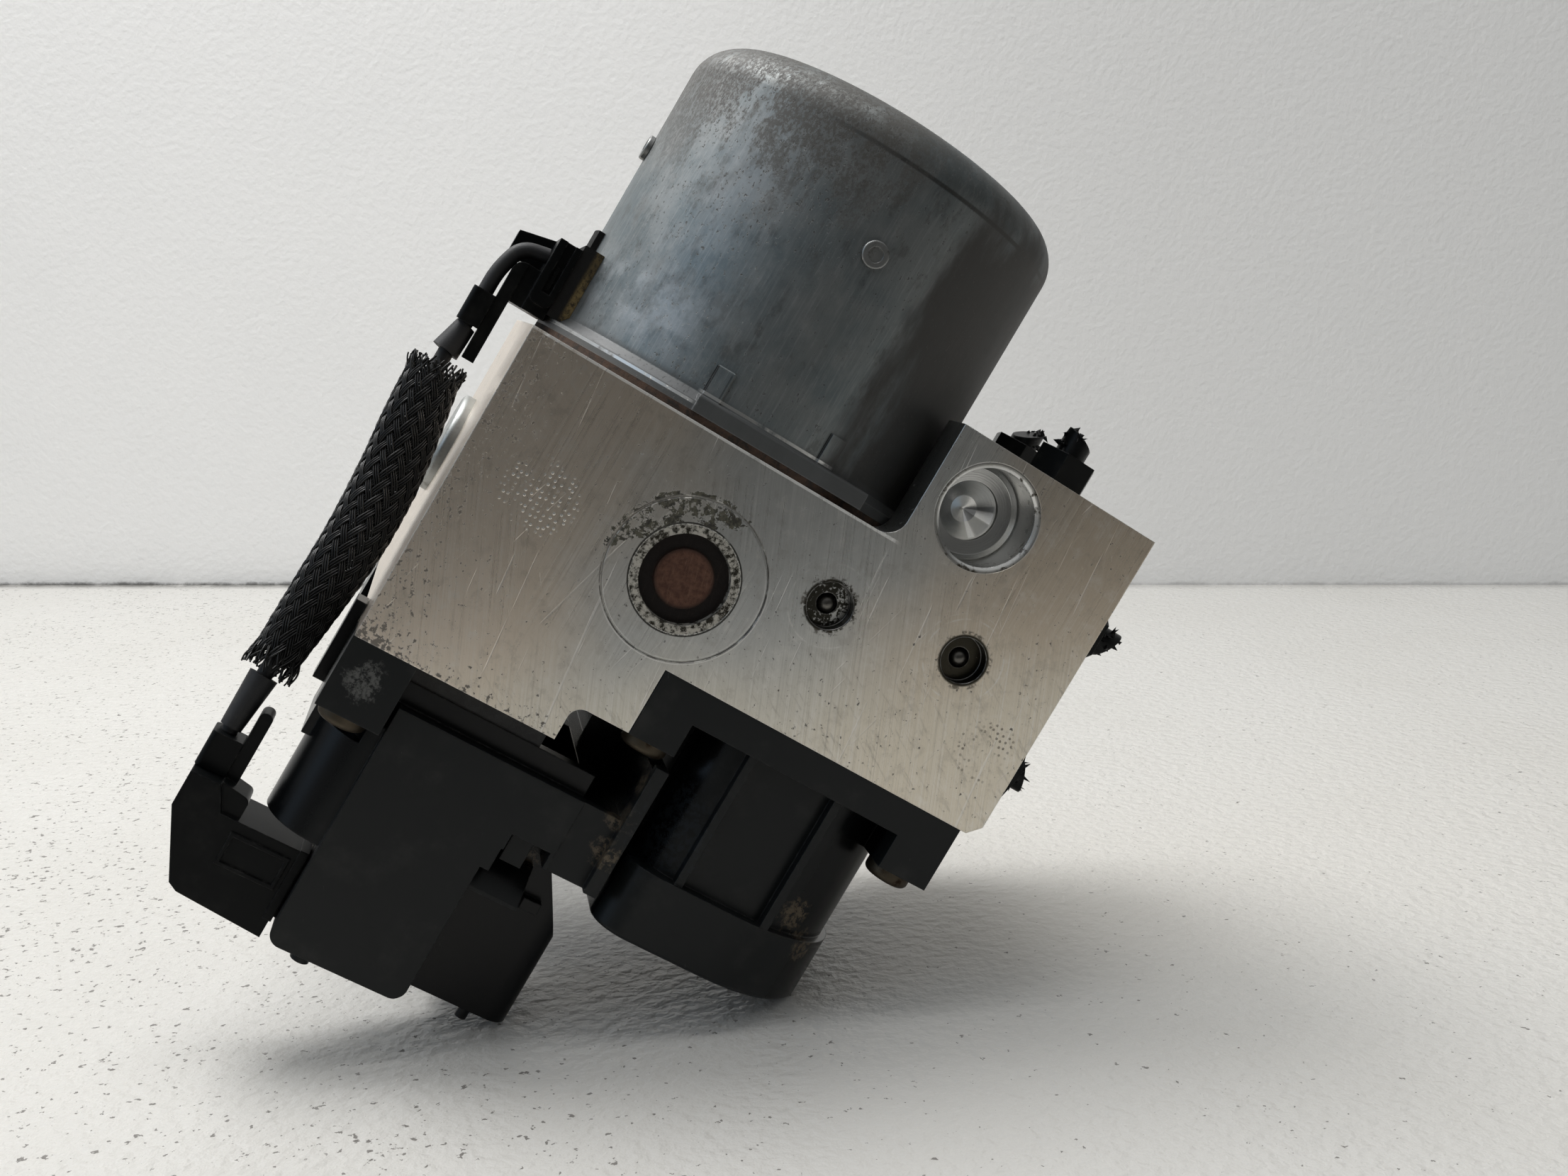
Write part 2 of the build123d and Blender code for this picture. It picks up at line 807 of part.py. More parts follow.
def motor_end_plate():
    top = gasket_top_z + end_plate_thickness
    plate = rod_z(can_inner_radius - sliding_gap, 0, axis_y, (gasket_top_z, top))
    boss_base = gasket_top_z - end_plate_boss_depth
    plate += rod_z(end_plate_boss_radius, 0, axis_y, (boss_base, gasket_top_z))
    pocket_base = top - base_bearing_height
    plate -= rod_z(base_bearing_radius + touch_gap, 0, axis_y, (pocket_base, top + 1))
    return plate - rod_z(shaft_radius + 2.0, 0, axis_y, (boss_base - 1, top))


def bearing(outer, bore, height, z):
    """A ball bearing: two rings with a shielded gap between them."""
    middle = (outer + bore) / 2
    race = (outer - bore) * 0.3
    solid = ring_z(outer, bore + running_gap, 0, axis_y, (z, z + height))
    for face_z in (z, z + height - 0.5):
        solid -= ring_z(outer - race, bore + race, 0, axis_y, (face_z, face_z + 0.5))
    return solid


def base_bearing():
    z = gasket_top_z + end_plate_thickness - base_bearing_height
    return bearing(base_bearing_radius, shaft_radius, base_bearing_height, z)


def top_bearing():
    return bearing(top_bearing_radius, shaft_nose_radius, top_bearing_height,
                   can_inside_z - top_bearing_height - 1.0)


def nose_bearing():
    return bearing(nose_bearing_radius - touch_gap, shaft_nose_radius, nose_bearing_height - safe_gap,
                   chamber_floor_z - nose_bearing_height)


def field_magnets():
    """Arc magnets held against the can's wall, parted by upright slots."""
    z = (core_base_z - 2.0, core_base_z + core_height + 2.0)
    outer = can_inner_radius - touch_gap
    tube = ring_z(outer, magnet_inner_radius, 0, axis_y, z)
    for step in range(magnet_count // 2):
        slot = Box(2 * can_radius, magnet_slot_width, z[1] - z[0] + 1)
        tube -= Pos(0, axis_y, (z[0] + z[1]) / 2) * Rot(0, 0, 45 + 90 * step) * slot
    return group(tube.solids())


def rotor_shaft():
    core_top = core_base_z + core_height
    top = can_inside_z - 1.0
    step_z = core_top + winding_height + 1.0
    nose_z = chamber_floor_z - nose_bearing_height
    eccentric_z = (-eccentric_height / 2, eccentric_height / 2)
    shaft = rod_z(shaft_radius, 0, axis_y, (-eccentric_height / 2, step_z))
    shaft += rod_z(shaft_nose_radius, 0, axis_y, (step_z, top))
    shaft += rod_z(shaft_nose_radius, 0, axis_y, (nose_z, eccentric_z[0]))
    return shaft + rod_z(eccentric_radius, eccentric_offset, axis_y, eccentric_z)


def eccentric_ring():
    z = (-eccentric_height / 2 + 0.5, eccentric_height / 2 - 0.5)
    return ring_z(eccentric_ring_radius, eccentric_radius + running_gap, eccentric_offset, axis_y, z)


def armature_core():
    """A stack of slotted laminations."""
    z = (core_base_z, core_base_z + core_height)
    core = ring_z(core_radius, shaft_radius, 0, axis_y, z)
    slot = bar((winding_inner_radius + 3.0, core_radius - 2.2),
               (-core_slot_width / 2, core_slot_width / 2), z)
    mouth = bar((core_radius - 3.0, core_radius + 1), (-0.8, 0.8), z)
    for step in range(core_slots):
        core -= Pos(0, axis_y, 0) * Rot(0, 0, 360 / core_slots * step) * (slot + mouth)
    return core


def armature_windings():
    ends = []
    for base in (core_base_z - winding_height, core_base_z + core_height):
        coil = ring_z(winding_outer_radius, winding_inner_radius, 0, axis_y, (base, base + winding_height))
        outside = coil.edges().filter_by(GeomType.CIRCLE).group_by(Axis.Z)
        free_end = outside[0] if base < core_base_z else outside[-1]
        ends.append(fillet(free_end, winding_height * 0.4))
    return group(ends)


def commutator():
    z = (commutator_base_z, commutator_base_z + commutator_height)
    body = ring_z(commutator_radius, shaft_radius, 0, axis_y, z)
    slit = bar((commutator_radius - 1.2, commutator_radius + 1), (-0.3, 0.3), z)
    for step in range(commutator_bars):
        body -= Pos(0, axis_y, 0) * Rot(0, 0, 360 / commutator_bars * (step + 0.5)) * slit
    return body


brush_width = 5.0
brush_height = 5.6
brush_length = 9.0
brush_box_wall = 1.2
brush_z = commutator_base_z + commutator_height / 2
brush_start = commutator_radius + safe_gap
brush_box_end = brush_start + brush_length + 9.0


def brush(side):
    x = sorted_pair(side * brush_start, side * (brush_start + brush_length))
    half = brush_width / 2
    return bar(x, (axis_y - half, axis_y + half), (brush_z - brush_height / 2, brush_z + brush_height / 2))


def brush_spring(side):
    start = brush_start + brush_length + touch_gap
    tube = rod_x(1.9, (start, brush_box_end - touch_gap), axis_y, brush_z)
    tube -= rod_x(1.2, (start, brush_box_end - touch_gap), axis_y, brush_z)
    return tube if side > 0 else Rot(0, 180, 0) * Pos(0, 0, -2 * brush_z) * tube


def brush_holder():
    """A moulded plate on the end plate, with a box for each brush."""
    base = gasket_top_z + end_plate_thickness
    floor_z = brush_z - brush_height / 2 - running_gap
    plate = ring_z(can_inner_radius - 2.0, commutator_radius + 2.0, 0, axis_y, (base, base + 1.2))
    top = brush_z + brush_height / 2 + running_gap
    half = brush_width / 2 + running_gap
    for side in (-1, 1):
        outer_x = sorted_pair(side * (brush_start + 2.0), side * (brush_box_end + brush_box_wall))
        inner_x = sorted_pair(side * (brush_start + 1.0), side * brush_box_end)
        y = (axis_y - half - brush_box_wall, axis_y + half + brush_box_wall)
        box = bar(outer_x, y, (base, top + brush_box_wall))
        plate += box - bar(inner_x, (axis_y - half, axis_y + half), (floor_z, top))
    return plate


def motor_screws():
    screws = []
    for x in motor_screw_xs:
        screw = rod_z(motor_screw_radius, x, motor_screw_y,
                      (seat_z - motor_screw_length + safe_gap, flange_top_z))
        head = rod_z(motor_screw_head_radius, x, motor_screw_y,
                     (flange_top_z, flange_top_z + motor_screw_head_height))
        head = fillet(head.edges().group_by(Axis.Z)[-1], 0.8)
        screws.append(screw + head - six_lobe(x, motor_screw_y, flange_top_z + motor_screw_head_height, -1))
    return group(screws)


def six_lobe(x, y, z, direction):
    """A six-lobed driver recess, cut from z in the given direction."""
    depth = drive_depth
    middle = z + direction * (depth / 2 - 0.1)
    recess = Pos(x, y, middle) * Cylinder(drive_radius * 0.72, depth + 0.2)
    for step in range(6):
        angle = radians(60 * step)
        place = (x + drive_radius * 0.78 * cos(angle), y + drive_radius * 0.78 * sin(angle), middle)
        recess += Pos(*place) * Cylinder(drive_radius * 0.26, depth + 0.2)
    return recess


# Valves

def valve_cartridges():
    solids = []
    plunger_room = valve_dome_radius - valve_wall
    for x, y in valve_places:
        body = rod_z(valve_collar_radius - touch_gap, x, y,
                     (high_base_z, high_base_z + valve_collar_height - safe_gap))
        dome = rod_z(valve_dome_radius, x, y, (valve_dome_z, high_base_z))
        dome = fillet(dome.edges().group_by(Axis.Z)[0], 1.6)
        low = valve_dome_z + valve_wall
        room = rod_z(plunger_room, x, y, (low, low + plunger_length + plunger_stroke + 0.4))
        solids.append(body + dome - room)
    return group(solids)


def valve_plunger(x, y):
    low = valve_dome_z + valve_wall + 0.1
    return rod_z(valve_dome_radius - valve_wall - running_gap, x, y, (low, low + plunger_length))


def solenoid_coils():
    solids = []
    top = high_base_z - coil_top_gap
    for x, y in valve_places:
        coil = ring_z(coil_radius, valve_dome_radius + touch_gap, x, y, (top - coil_height, top))
        waist = ring_z(coil_radius + 1, coil_radius - 0.7, x, y, (top - coil_height + 2.0, top - 2.0))
        solids.append(coil - waist)
    return group(solids)


# The control unit's housing

def housing_plate():
    """The flange under the right half of the block, with the tub behind it."""
    z = (high_base_z - ecu_flange_thickness, high_base_z)
    plate = bar((ecu_flange_left, ecu_right), (front_y, 0), z)
    tub = bar((ecu_flange_left, ecu_right), (tub_front_y, deck_back_y), (tub_base_z, high_base_z))
    return plate + tub


def housing_ears():
    left = (block_left - 0.2, block_left - 0.2 + left_ear_width)
    mid = (ecu_flange_left, ecu_flange_left + mid_ear_width)
    right = (ecu_right - right_ear_width, ecu_right)
    front = (front_y, front_y + ear_depth)
    back = (-ear_depth, 0)
    ears = bar(left, front, (left_ear_base_z, low_base_z))
    ears += bar(left, back, (left_ear_base_z, low_base_z))
    ears += bar(mid, front, (mid_ear_base_z, high_base_z))
    ears += bar(right, front, (right_ear_base_z, high_base_z))
    return ears + bar(right, back, (right_ear_base_z, high_base_z))


def housing_deck():
    """The left half: a deep deck in front, a shallower one behind, and the sealing rim on both."""
    deck = bar((hood_left, ecu_flange_left), (deck_front_y, tub_front_y), (deck_base_z, deck_top_z))
    deck += bar((ecu_flange_left, deck_right), (deck_front_y + deck_panel_step, tub_front_y),
                (deck_base_z, deck_top_z))
    deck += bar((ecu_left, hood_left), (front_y + ear_depth, tub_front_y), (deck_base_z, deck_top_z))
    deck += bar((ecu_left, ecu_flange_left), (front_y + ear_depth, deck_back_y), (tub_base_z, deck_top_z))
    rim = bar((ecu_left + 1.0, ecu_flange_left), (rim_front_y, deck_back_y), (deck_top_z, rim_top_z))
    web = bar((deck_right, deck_right + web_wall), (front_y, front_y + 16.0),
              (deck_base_z, mid_ear_base_z - screw_head_height - 0.5))
    tie = bar((deck_right, deck_right + web_wall), (front_y + ear_depth, tub_front_y),
              (deck_base_z, high_base_z))
    return deck + rim + web + tie


def housing_hood():
    """The tall box that reaches down beside the small connector."""
    x = (hood_left, hood_right)
    hood = bar(x, (deck_front_y, hood_back_y), (hood_base_z, deck_top_z))
    hood = fillet(edges_at(hood, Axis.Y, z=hood_base_z), hood_corner_radius)
    hood += bar((hood_right, hood_right + hood_step_width), (deck_front_y, hood_back_y),
                (hood_step_z, deck_base_z))
    column = plan_column((column_left, column_right), (column_front_y, column_back_y),
                         (column_base_z, deck_top_z - 5.0), column_radius, 0, 0, 0)
    lug = bar((block_left - left_edge_lug, block_left - 2 * touch_gap), lug_y,
              (left_ear_base_z, low_base_z + lug_head_rise))
    lug += bar((block_left - left_edge_lug, ecu_left + 1.0), lug_y,
               (left_ear_base_z, low_base_z - lug_foot_drop))
    return hood + column + lug


def plug_socket():
    """The socket in the hood that takes the nose of the lead's plug."""
    grow = sliding_gap
    return bar((hood_left - 1, hood_left + plug_nose_length + 1.0),
               (plug_front_y + 1.4 - grow, plug_back_y - 1.4 + grow),
               (plug_nose_base_z - grow, plug_nose_top_z + grow))


def small_connector():
    x = (hood_right, small_right)
    shell = plan_column(x, (small_front_y, small_back_y), (small_base_z, deck_base_z + 1.0),
                        0, small_corner_radius, 0, small_corner_radius)
    corner = ((small_right + 1, small_slant_z), (small_right, small_slant_z), (small_slant_x, deck_base_z),
              (small_slant_x, deck_base_z + 2), (small_right + 1, deck_base_z + 2))
    shell -= side_extrusion(corner, (small_front_y - 1, small_back_y + 1))
    return shell + small_catch() + small_keys()


def small_catch():
    """The wedge that the plug's latch snaps over; it is deepest at its lower edge."""
    tip_y = small_front_y - catch_proud
    face = make_face(Plane.YZ * Polyline(
        (small_front_y + 1, catch_top_z), (small_front_y - 2.0, catch_top_z), (tip_y, catch_base_z + 0.8),
        (tip_y, catch_base_z), (small_front_y + 1, catch_base_z - 0.9), close=True))
    return Pos(hood_right, 0, 0) * extrude(face, catch_right - hood_right, dir=(1, 0, 0))


def small_keys():
    """A block in the deck's notch above the catch and a small key beside it."""
    keeper = bar((deck_notch_left + 0.6, deck_notch_left + 0.6 + keeper_width),
                 (deck_front_y + deck_notch_depth, small_front_y + 1), (catch_top_z,
                                                                        deck_base_z + deck_notch_height))
    key = bar((key_x, key_x + key_width), (small_front_y - 2.2, small_front_y + 1),
              (key_top_z - key_height, key_top_z))
    return keeper + key


def deck_notch():
    return bar((deck_notch_left, catch_right), (deck_front_y - 1, small_front_y - 1.0),
               (deck_base_z - 0.1, deck_base_z + deck_notch_height))


def small_socket():
    wall = socket_wall
    return plan_column((hood_right + wall, small_right - wall), (small_front_y + wall, small_back_y - wall),
                       (small_base_z - 1, small_socket_roof_z),
                       1.5, small_corner_radius - 1.5, 1.5, small_corner_radius - 1.5)


def foot_pegs():
    """Short pegs on the rims that the unit stands on."""
    z = (small_base_z - foot_peg_height, small_base_z + 1.0)
    pegs = rod_z(small_peg_radius, small_peg_x, small_front_y + socket_wall / 2, z)
    z = (hood_base_z - foot_peg_height, hood_base_z + 1.0)
    return pegs + rod_z(hood_peg_radius, hood_left + hood_peg_inset_x, deck_front_y + hood_peg_inset_y, z)


def large_connector():
    body = plan_column((large_left, large_right), (large_front_y, large_back_y),
                       (collar_top_z, high_base_z - 1.0), large_left_radius, large_right_radius, 0, 0)
    collar = plan_column((collar_left, collar_right), (collar_front_y, large_back_y),
                         (collar_base_z, collar_top_z), collar_left_radius, collar_right_radius,
                         collar_back_radius, collar_back_radius)
    for face in (collar.faces().sort_by(Axis.Z)[-1], collar.faces().sort_by(Axis.Z)[0]):
        collar = fillet(face.edges().sort_by(Axis.Y)[:3], collar_edge_radius)
    for x in rib_xs:
        body += bar((x - rib_width / 2, x + rib_width / 2),
                    (large_front_y - rib_proud, large_front_y + 5.0),
                    (collar_top_z - 0.5, high_base_z - ecu_flange_thickness + 1.0))
    neck = bar((deck_right, large_left + neck_overlap), (neck_front_y, tub_front_y + 1.0),
               (deck_base_z, high_base_z - 1.0))
    return body + collar + neck


def large_socket():
    """The socket is as wide as the collar allows below and as the body allows above."""
    wall = socket_wall
    step_z = collar_top_z - 1.8
    mouth = plan_column((collar_left + wall, collar_right - wall),
                        (collar_front_y + wall, large_back_y - wall),
                        (collar_base_z - 1, step_z), collar_left_radius - wall, collar_right_radius - wall,
                        collar_back_radius - wall, collar_back_radius - wall)
    room = plan_column((large_left + wall, large_right - wall), (large_front_y + wall, large_back_y - wall),
                       (collar_base_z, large_socket_roof_z), large_left_radius - wall,
                       large_right_radius - wall,
                       1.5, 1.5)
    return mouth + room


def coil_chamber():
    """The room for the coils, open to the block, with the board's room below it."""
    y = (tub_front_y + chamber_wall, deck_back_y - chamber_wall)
    right = bar((ecu_flange_left + chamber_wall, ecu_right - chamber_wall), y,
                (tub_base_z, high_base_z + 1))
    left = bar((ecu_left + 1.0 + rim_wall, ecu_flange_left - rim_wall), y, (tub_base_z, rim_top_z + 1))
    board = bar((ecu_left + 1.0 + rim_wall, ecu_right - chamber_wall), y,
                (tub_base_z, board_top_z + 1.5))
    return right + left + board


def relay_pocket():
    """The hollow behind the sealing rim in front."""
    left = block_left - 0.2 + left_ear_width + rim_wall
    return bar((left, ecu_flange_left - rim_wall), (rim_front_y + rim_wall, tub_front_y - 2.0),
               (relay_floor_z, rim_top_z + 1))


def pin_places():
    start = (collar_left + collar_right) / 2 - pin_pitch * (pin_columns - 1) / 2 - 1.0
    return [(start + pin_pitch * column, y) for y in pin_ys for column in range(pin_columns)]


def signal_pins():
    half = pin_size / 2
    z = pin_heights(large_socket_roof_z)
    return [bar((x - half, x + half), (y - half, y + half), z) for x, y in pin_places()]


def pin_heights(roof_z):
    """A pin is moulded into the roof of its socket and hangs down from it."""
    return (roof_z - pin_length + pin_root, roof_z + pin_root)


def power_pins():
    z = pin_heights(small_socket_roof_z)
    pins = []
    for y in blade_ys:
        for x in blade_xs:
            pins.append(bar((x - blade_thickness / 2, x + blade_thickness / 2),
                            (y - blade_width / 2, y + blade_width / 2), z))
    return pins


def ecu_housing():
    housing = housing_plate() + housing_ears() + (housing_deck() - deck_notch()) + housing_hood()
    housing = housing + small_connector() + large_connector() + foot_pegs()
    housing = housing - coil_chamber() - relay_pocket() - plug_socket() - small_socket() - large_socket()
    housing -= block_clearance()
    for x, y, head_z, base in screw_places:
        housing -= rod_z(screw_radius + sliding_gap, x, y, (head_z - 1, base + 1))
        housing -= rod_z(screw_head_radius + sliding_gap, x, y, (head_z - screw_head_height - 1.5, head_z))
    for pin in signal_pins() + power_pins():
        housing -= pin
    return housing


def block_clearance():
    """Keeps the moulding off the step in the block's underside."""
    step = bar((notch_left_x - 2, base_step_x + 0.15), (front_y - 1, 1), (low_base_z, high_base_z + 1))
    return step


def ecu_cover():
    """The plate that closes the board's room from below."""
    y = (tub_front_y + chamber_wall + touch_gap, deck_back_y - chamber_wall - touch_gap)
    x = (ecu_left + 1.0 + rim_wall + touch_gap, ecu_right - chamber_wall - touch_gap)
    cover = bar(x, y, (tub_base_z, tub_base_z + cover_thickness))
    for step in range(5):
        rib_x = x[0] + 14.0 + 21.0 * step
        cover -= bar((rib_x, rib_x + 12.0), (y[0] + 4.0, y[1] - 4.0), (tub_base_z - 1, tub_base_z + 1.0))
    return cover


def circuit_board():
    y = (tub_front_y + chamber_wall + sliding_gap, deck_back_y - chamber_wall - sliding_gap)
    x = (ecu_left + 1.0 + rim_wall + sliding_gap, ecu_right - chamber_wall - sliding_gap)
    board = bar(x, y, (board_top_z - board_thickness, board_top_z))
    for chip_x, size in ((-26.0, 12.0), (-8.0, 9.0)):
        board += bar((chip_x, chip_x + size), (chip_front_y, chip_front_y + size),
                     (board_top_z, board_top_z + chip_height))
    stand_z = (tub_base_z + cover_thickness, board_top_z - board_thickness)
    for stand_x in (x[0] + 4.0, x[1] - 4.0):
        for stand_y in (y[0] + 3.0, y[1] - 3.0):
            board += rod_z(1.5, stand_x, stand_y, stand_z)
    return board


def ecu_seal():
    """A soft ring pressed between the housing's rim and the block."""
    z = (rim_top_z, low_base_z)
    x = (ecu_left + 1.4, notch_left_x - 0.4)
    y = (rim_front_y + 0.4, deck_back_y - 0.4)
    width = seal_width
    inner_x = (x[0] + width, x[1] - width)
    outside = bar(x, y, z) - left_ear_room(touch_gap)
    inside = bar(inner_x, (y[0] + width, y[1] - width), z) - left_ear_room(touch_gap + width)
    bridge_y = (tub_front_y - 2.0 + 0.3, tub_front_y + chamber_wall - 0.3)
    return outside - inside + bar(inner_x, bridge_y, z)


def left_ear_room(grow):
    """The space of the two left ears, grown on every side that faces the seal."""
    x = (block_left - 5.0, block_left - 0.2 + left_ear_width + grow)
    z = (left_ear_base_z, low_base_z + 1)
    return bar(x, (front_y, front_y + ear_depth + grow), z) + bar(x, (-ear_depth - grow, 0), z)


def ecu_screws():
    screws = []
    for x, y, head_z, base in screw_places:
        shank = rod_z(screw_radius, x, y, (head_z, base + screw_engagement))
        head = rod_z(screw_head_radius, x, y, (head_z - screw_head_height, head_z))
        head = fillet(head.edges().group_by(Axis.Z)[0], 1.2)
        screws.append(shank + head - six_lobe(x, y, head_z - screw_head_height, 1))
    return group(screws)


# Port plugs

def port_plug(stem_height, tilt):
    """A screwed plastic plug with its pull stem torn off; the block's face is at zero."""
    plug = Pos(0, 0, plug_flange_height / 2) * Cylinder(plug_flange_radius, plug_flange_height)
    hexagon = RegularPolygon(plug_across_flats / 2, 6, major_radius=False)
    plug += Pos(0, 0, plug_flange_height) * extrude(hexagon, plug_hex_height)
    plug += Pos(0, 0, -plug_thread_length / 2) * Cylinder(port_radius - touch_gap, plug_thread_length)
    top = plug_flange_height + plug_hex_height
    stem = Pos(0, 0, top + stem_height / 2) * Cylinder(stem_radius, stem_height)
    tear = Pos(stem_radius * 0.6, 0, top + stem_height) * Rot(0, tilt, 20) * Box(16, 16, stem_height * 0.9)
    notch = Pos(-stem_radius * 0.9, stem_radius * 0.5, top + stem_height) * Rot(20, -tilt, 0)
    notch = notch * Box(3.0, 3.4, stem_height * 1.3)
    return plug + (stem - tear - notch)


def inlet_port_plugs():
    shapes = ((6.0, 24), (8.0, -30))
    return group([Pos(inlet_x, y, raised_top_z) * Rot(0, 0, 6 + 11 * place) * port_plug(*shape)
                  for place, (y, shape) in enumerate(zip(inlet_ys, shapes))])


def outlet_port_plugs():
    plugs = []
    for place, y in enumerate(outlet_ys):
        for row, z in enumerate(outlet_zs):
            plug = Rot(0, 0, 13 * place + 24 * row) * port_plug(6.5 + row, 28 - 50 * row)
            plugs.append(Pos(block_right, y, z) * Rot(0, 90, 0) * plug)
    return group(plugs)


# The motor's lead

def connector_pad():
    """A foam pad between the can and the upper connector."""
    outer = can_radius + pad_thickness
    base = flange_top_z + touch_gap
    pad = bar((-outer, -can_radius + 4.5), (head_front_y + 0.3, head_back_y - 0.3), (base, pad_top_z))
    tongue = rod_z(can_radius + pad_tongue_thickness, 0, axis_y, (base, pad_tongue_top_z))
    pad += tongue & bar((-outer, -can_radius + 4.5), pad_tongue_y, (base, pad_tongue_top_z))
    pad -= rod_z(can_radius + touch_gap, 0, axis_y, (base - 1, pad_tongue_top_z + 1))
    pad -= can_flare()
    for y in terminal_ys:
        pad -= terminal(y, sliding_gap)
    return pad


def can_flare():
    """The room that the flared foot of the can needs."""
    wide = can_radius + flare_width + 2 * touch_gap
    flare = Cone(wide, wide - flare_width, flare_height, align=(Align.CENTER, Align.CENTER, Align.MIN))
    return Pos(0, axis_y, flange_top_z) * flare


def terminal(y, grow=0.0):
    half = terminal_width / 2 + grow
    flat = terminal_thickness / 2 + grow
    return bar((head_left + 4.0 - grow, -30.0), (y - flat, y + flat),
               (terminal_z - half, terminal_z + half))


def motor_terminals():
    blades = []
    for y in terminal_ys:
        blade = terminal(y)
        foot = bar((-32.0, -30.0), (y - terminal_thickness / 2, y + terminal_thickness / 2),
                   (gasket_top_z + end_plate_thickness + 1.2, terminal_z))
        blades.append(blade + foot)
    return group(blades)


def motor_connector():
    """The housing that plugs onto the motor's terminals, with its latch frame and cable arm."""
    right = -can_radius - pad_thickness
    body = bar((head_face_left, right), (head_front_y + 1.2, head_back_y), (head_base_z, head_top_z))
    body += bar((head_left, head_face_left), (head_front_y + 4.0, head_back_y),
                (head_base_z, rear_block_base_z))
    body += side_extrusion((
        (rear_block_left, rear_block_base_z), (rear_block_left, rear_block_low_z),
        (head_face_left, rear_block_high_z), (head_face_left, rear_block_base_z)), (rear_block_front_y,
                                                                                    head_back_y))
    frame = bar((head_face_left, right), (head_front_y, head_front_y + 1.3),
                (head_base_z + 2.0, head_top_z))
    frame = fillet(edges_at(frame, Axis.Y, z=head_base_z + 2.0), 1.6)
    slot = bar((head_face_left + 1.5, right - 1.3), (head_front_y - 1, head_front_y + 1.2),
               (head_base_z + 4.6, head_top_z + 1))
    key = bar((head_face_left + 2.0, right - 1.8), (head_front_y + 0.5, head_front_y + 1.3),
              (head_base_z + 5.2, head_base_z + 9.8))
    body = body + (frame - slot) + key
    arm_y = (head_front_y + arm_setback, head_front_y + arm_setback + arm_depth)
    arm = bar((arm_left, arm_left + arm_width), arm_y, (arm_base_z, arm_elbow_z))
    arm += bar((arm_left, head_left + 0.5), arm_y, (arm_elbow_z - 0.2, rear_block_base_z))
    arm = fillet(edges_at(arm, Axis.Y, x=arm_left, z=rear_block_base_z), arm_elbow_radius)
    body = body + arm
    for y in terminal_ys:
        body -= terminal(y, touch_gap)
    body -= rod_z(flange_radius + touch_gap, 0, axis_y, (head_base_z - 1, flange_top_z + touch_gap))
    return body - can_flare() - lead_room(0, 3, cable_radius + touch_gap)


def lead_path(first, last):
    """Straight runs joined by arcs, each arc as large as its two runs allow."""
    points = [Vector(*p) for p in lead_points[first:last + 1]]
    radii = []
    for before, here, after in zip(points, points[1:], points[2:]):
        turn = (here - before).get_angle(after - here)
        run = min((here - before).length, (after - here).length)
        radii.append(0.45 * run / tan(radians(turn) / 2))
    return FilletPolyline(*points, radius=radii), radii


def lead_room(first, last, radius):
    """A tube that follows the lead between two of its points."""
    path, _ = lead_path(first, last)
    start = path @ 0
    plane = Plane(origin=start, z_dir=path % 0)
    return sweep(plane * Circle(radius), path)


def lead_cable():
    path, radii = lead_path(0, len(lead_points) - 1)
    tube = lead_room(0, len(lead_points) - 1, cable_radius)
    print("lead radii", [round(r, 1) for r in radii])
    print("lead length", round(path.length, 1), "volume", round(tube.volume, 1),
          "section times length", round(pi * cable_radius ** 2 * path.length, 1))
    return tube


def along(first, last, from_share, to_share):
    """Two points on the straight line between two of the lead's points."""
    a, b = Vector(*lead_points[first]), Vector(*lead_points[last])
    return a + (b - a) * from_share, a + (b - a) * to_share


def tapered(start, end, start_radius, end_radius):
    direction = end - start
    cone = Cone(start_radius, end_radius, direction.length, align=(Align.CENTER, Align.CENTER, Align.MIN))
    return Plane(origin=start, z_dir=direction) * cone


def braided_sleeve():
    path, _ = lead_path(sleeve_first, sleeve_last)
    plane = Plane(origin=path @ 0, z_dir=path % 0)
    tube = sweep(plane * Circle(sleeve_radius), path)
    return tube - lead_room(0, len(lead_points) - 1, cable_radius + touch_gap)


def lead_boots():
    """Soft sleeves that widen the cable where it leaves each clip and enters the braid."""
    room = lead_room(0, len(lead_points) - 1, cable_radius + touch_gap)
    upper = tapered(Vector(*lead_points[3]) + Vector(0, 0, -4.0),
                    Vector(*lead_points[4]) + Vector(0, 0, 1.0),
                    boot_tip_radius, boot_root_radius)
    lower = tapered(Vector(*lead_points[9]) + Vector(0, 0, -1.0),
                    Vector(*lead_points[10]) + Vector(0, 0, 2.2),
                    boot_root_radius, boot_tip_radius)
    return group([upper - room, lower - room])


def lead_clip(x, y, z, arm_x):
    """A moulded band that ties the cable to the connector's arm."""
    left = x - clip_width / 2
    band = bar((left, arm_x), (y - 3.4, y + 2.6), (z - clip_height / 2, z + clip_height / 2))
    return fillet(edges_at(band, Axis.Z, x=left), 1.1)


def lead_clips():
    room = lead_room(0, len(lead_points) - 1, cable_radius + touch_gap)
    upper = lead_clip(*lead_points[upper_clip_point], arm_left)
    lower = lead_clip(*lower_clip_place, plug_arm_x)
    return group([upper - room, lower - room])


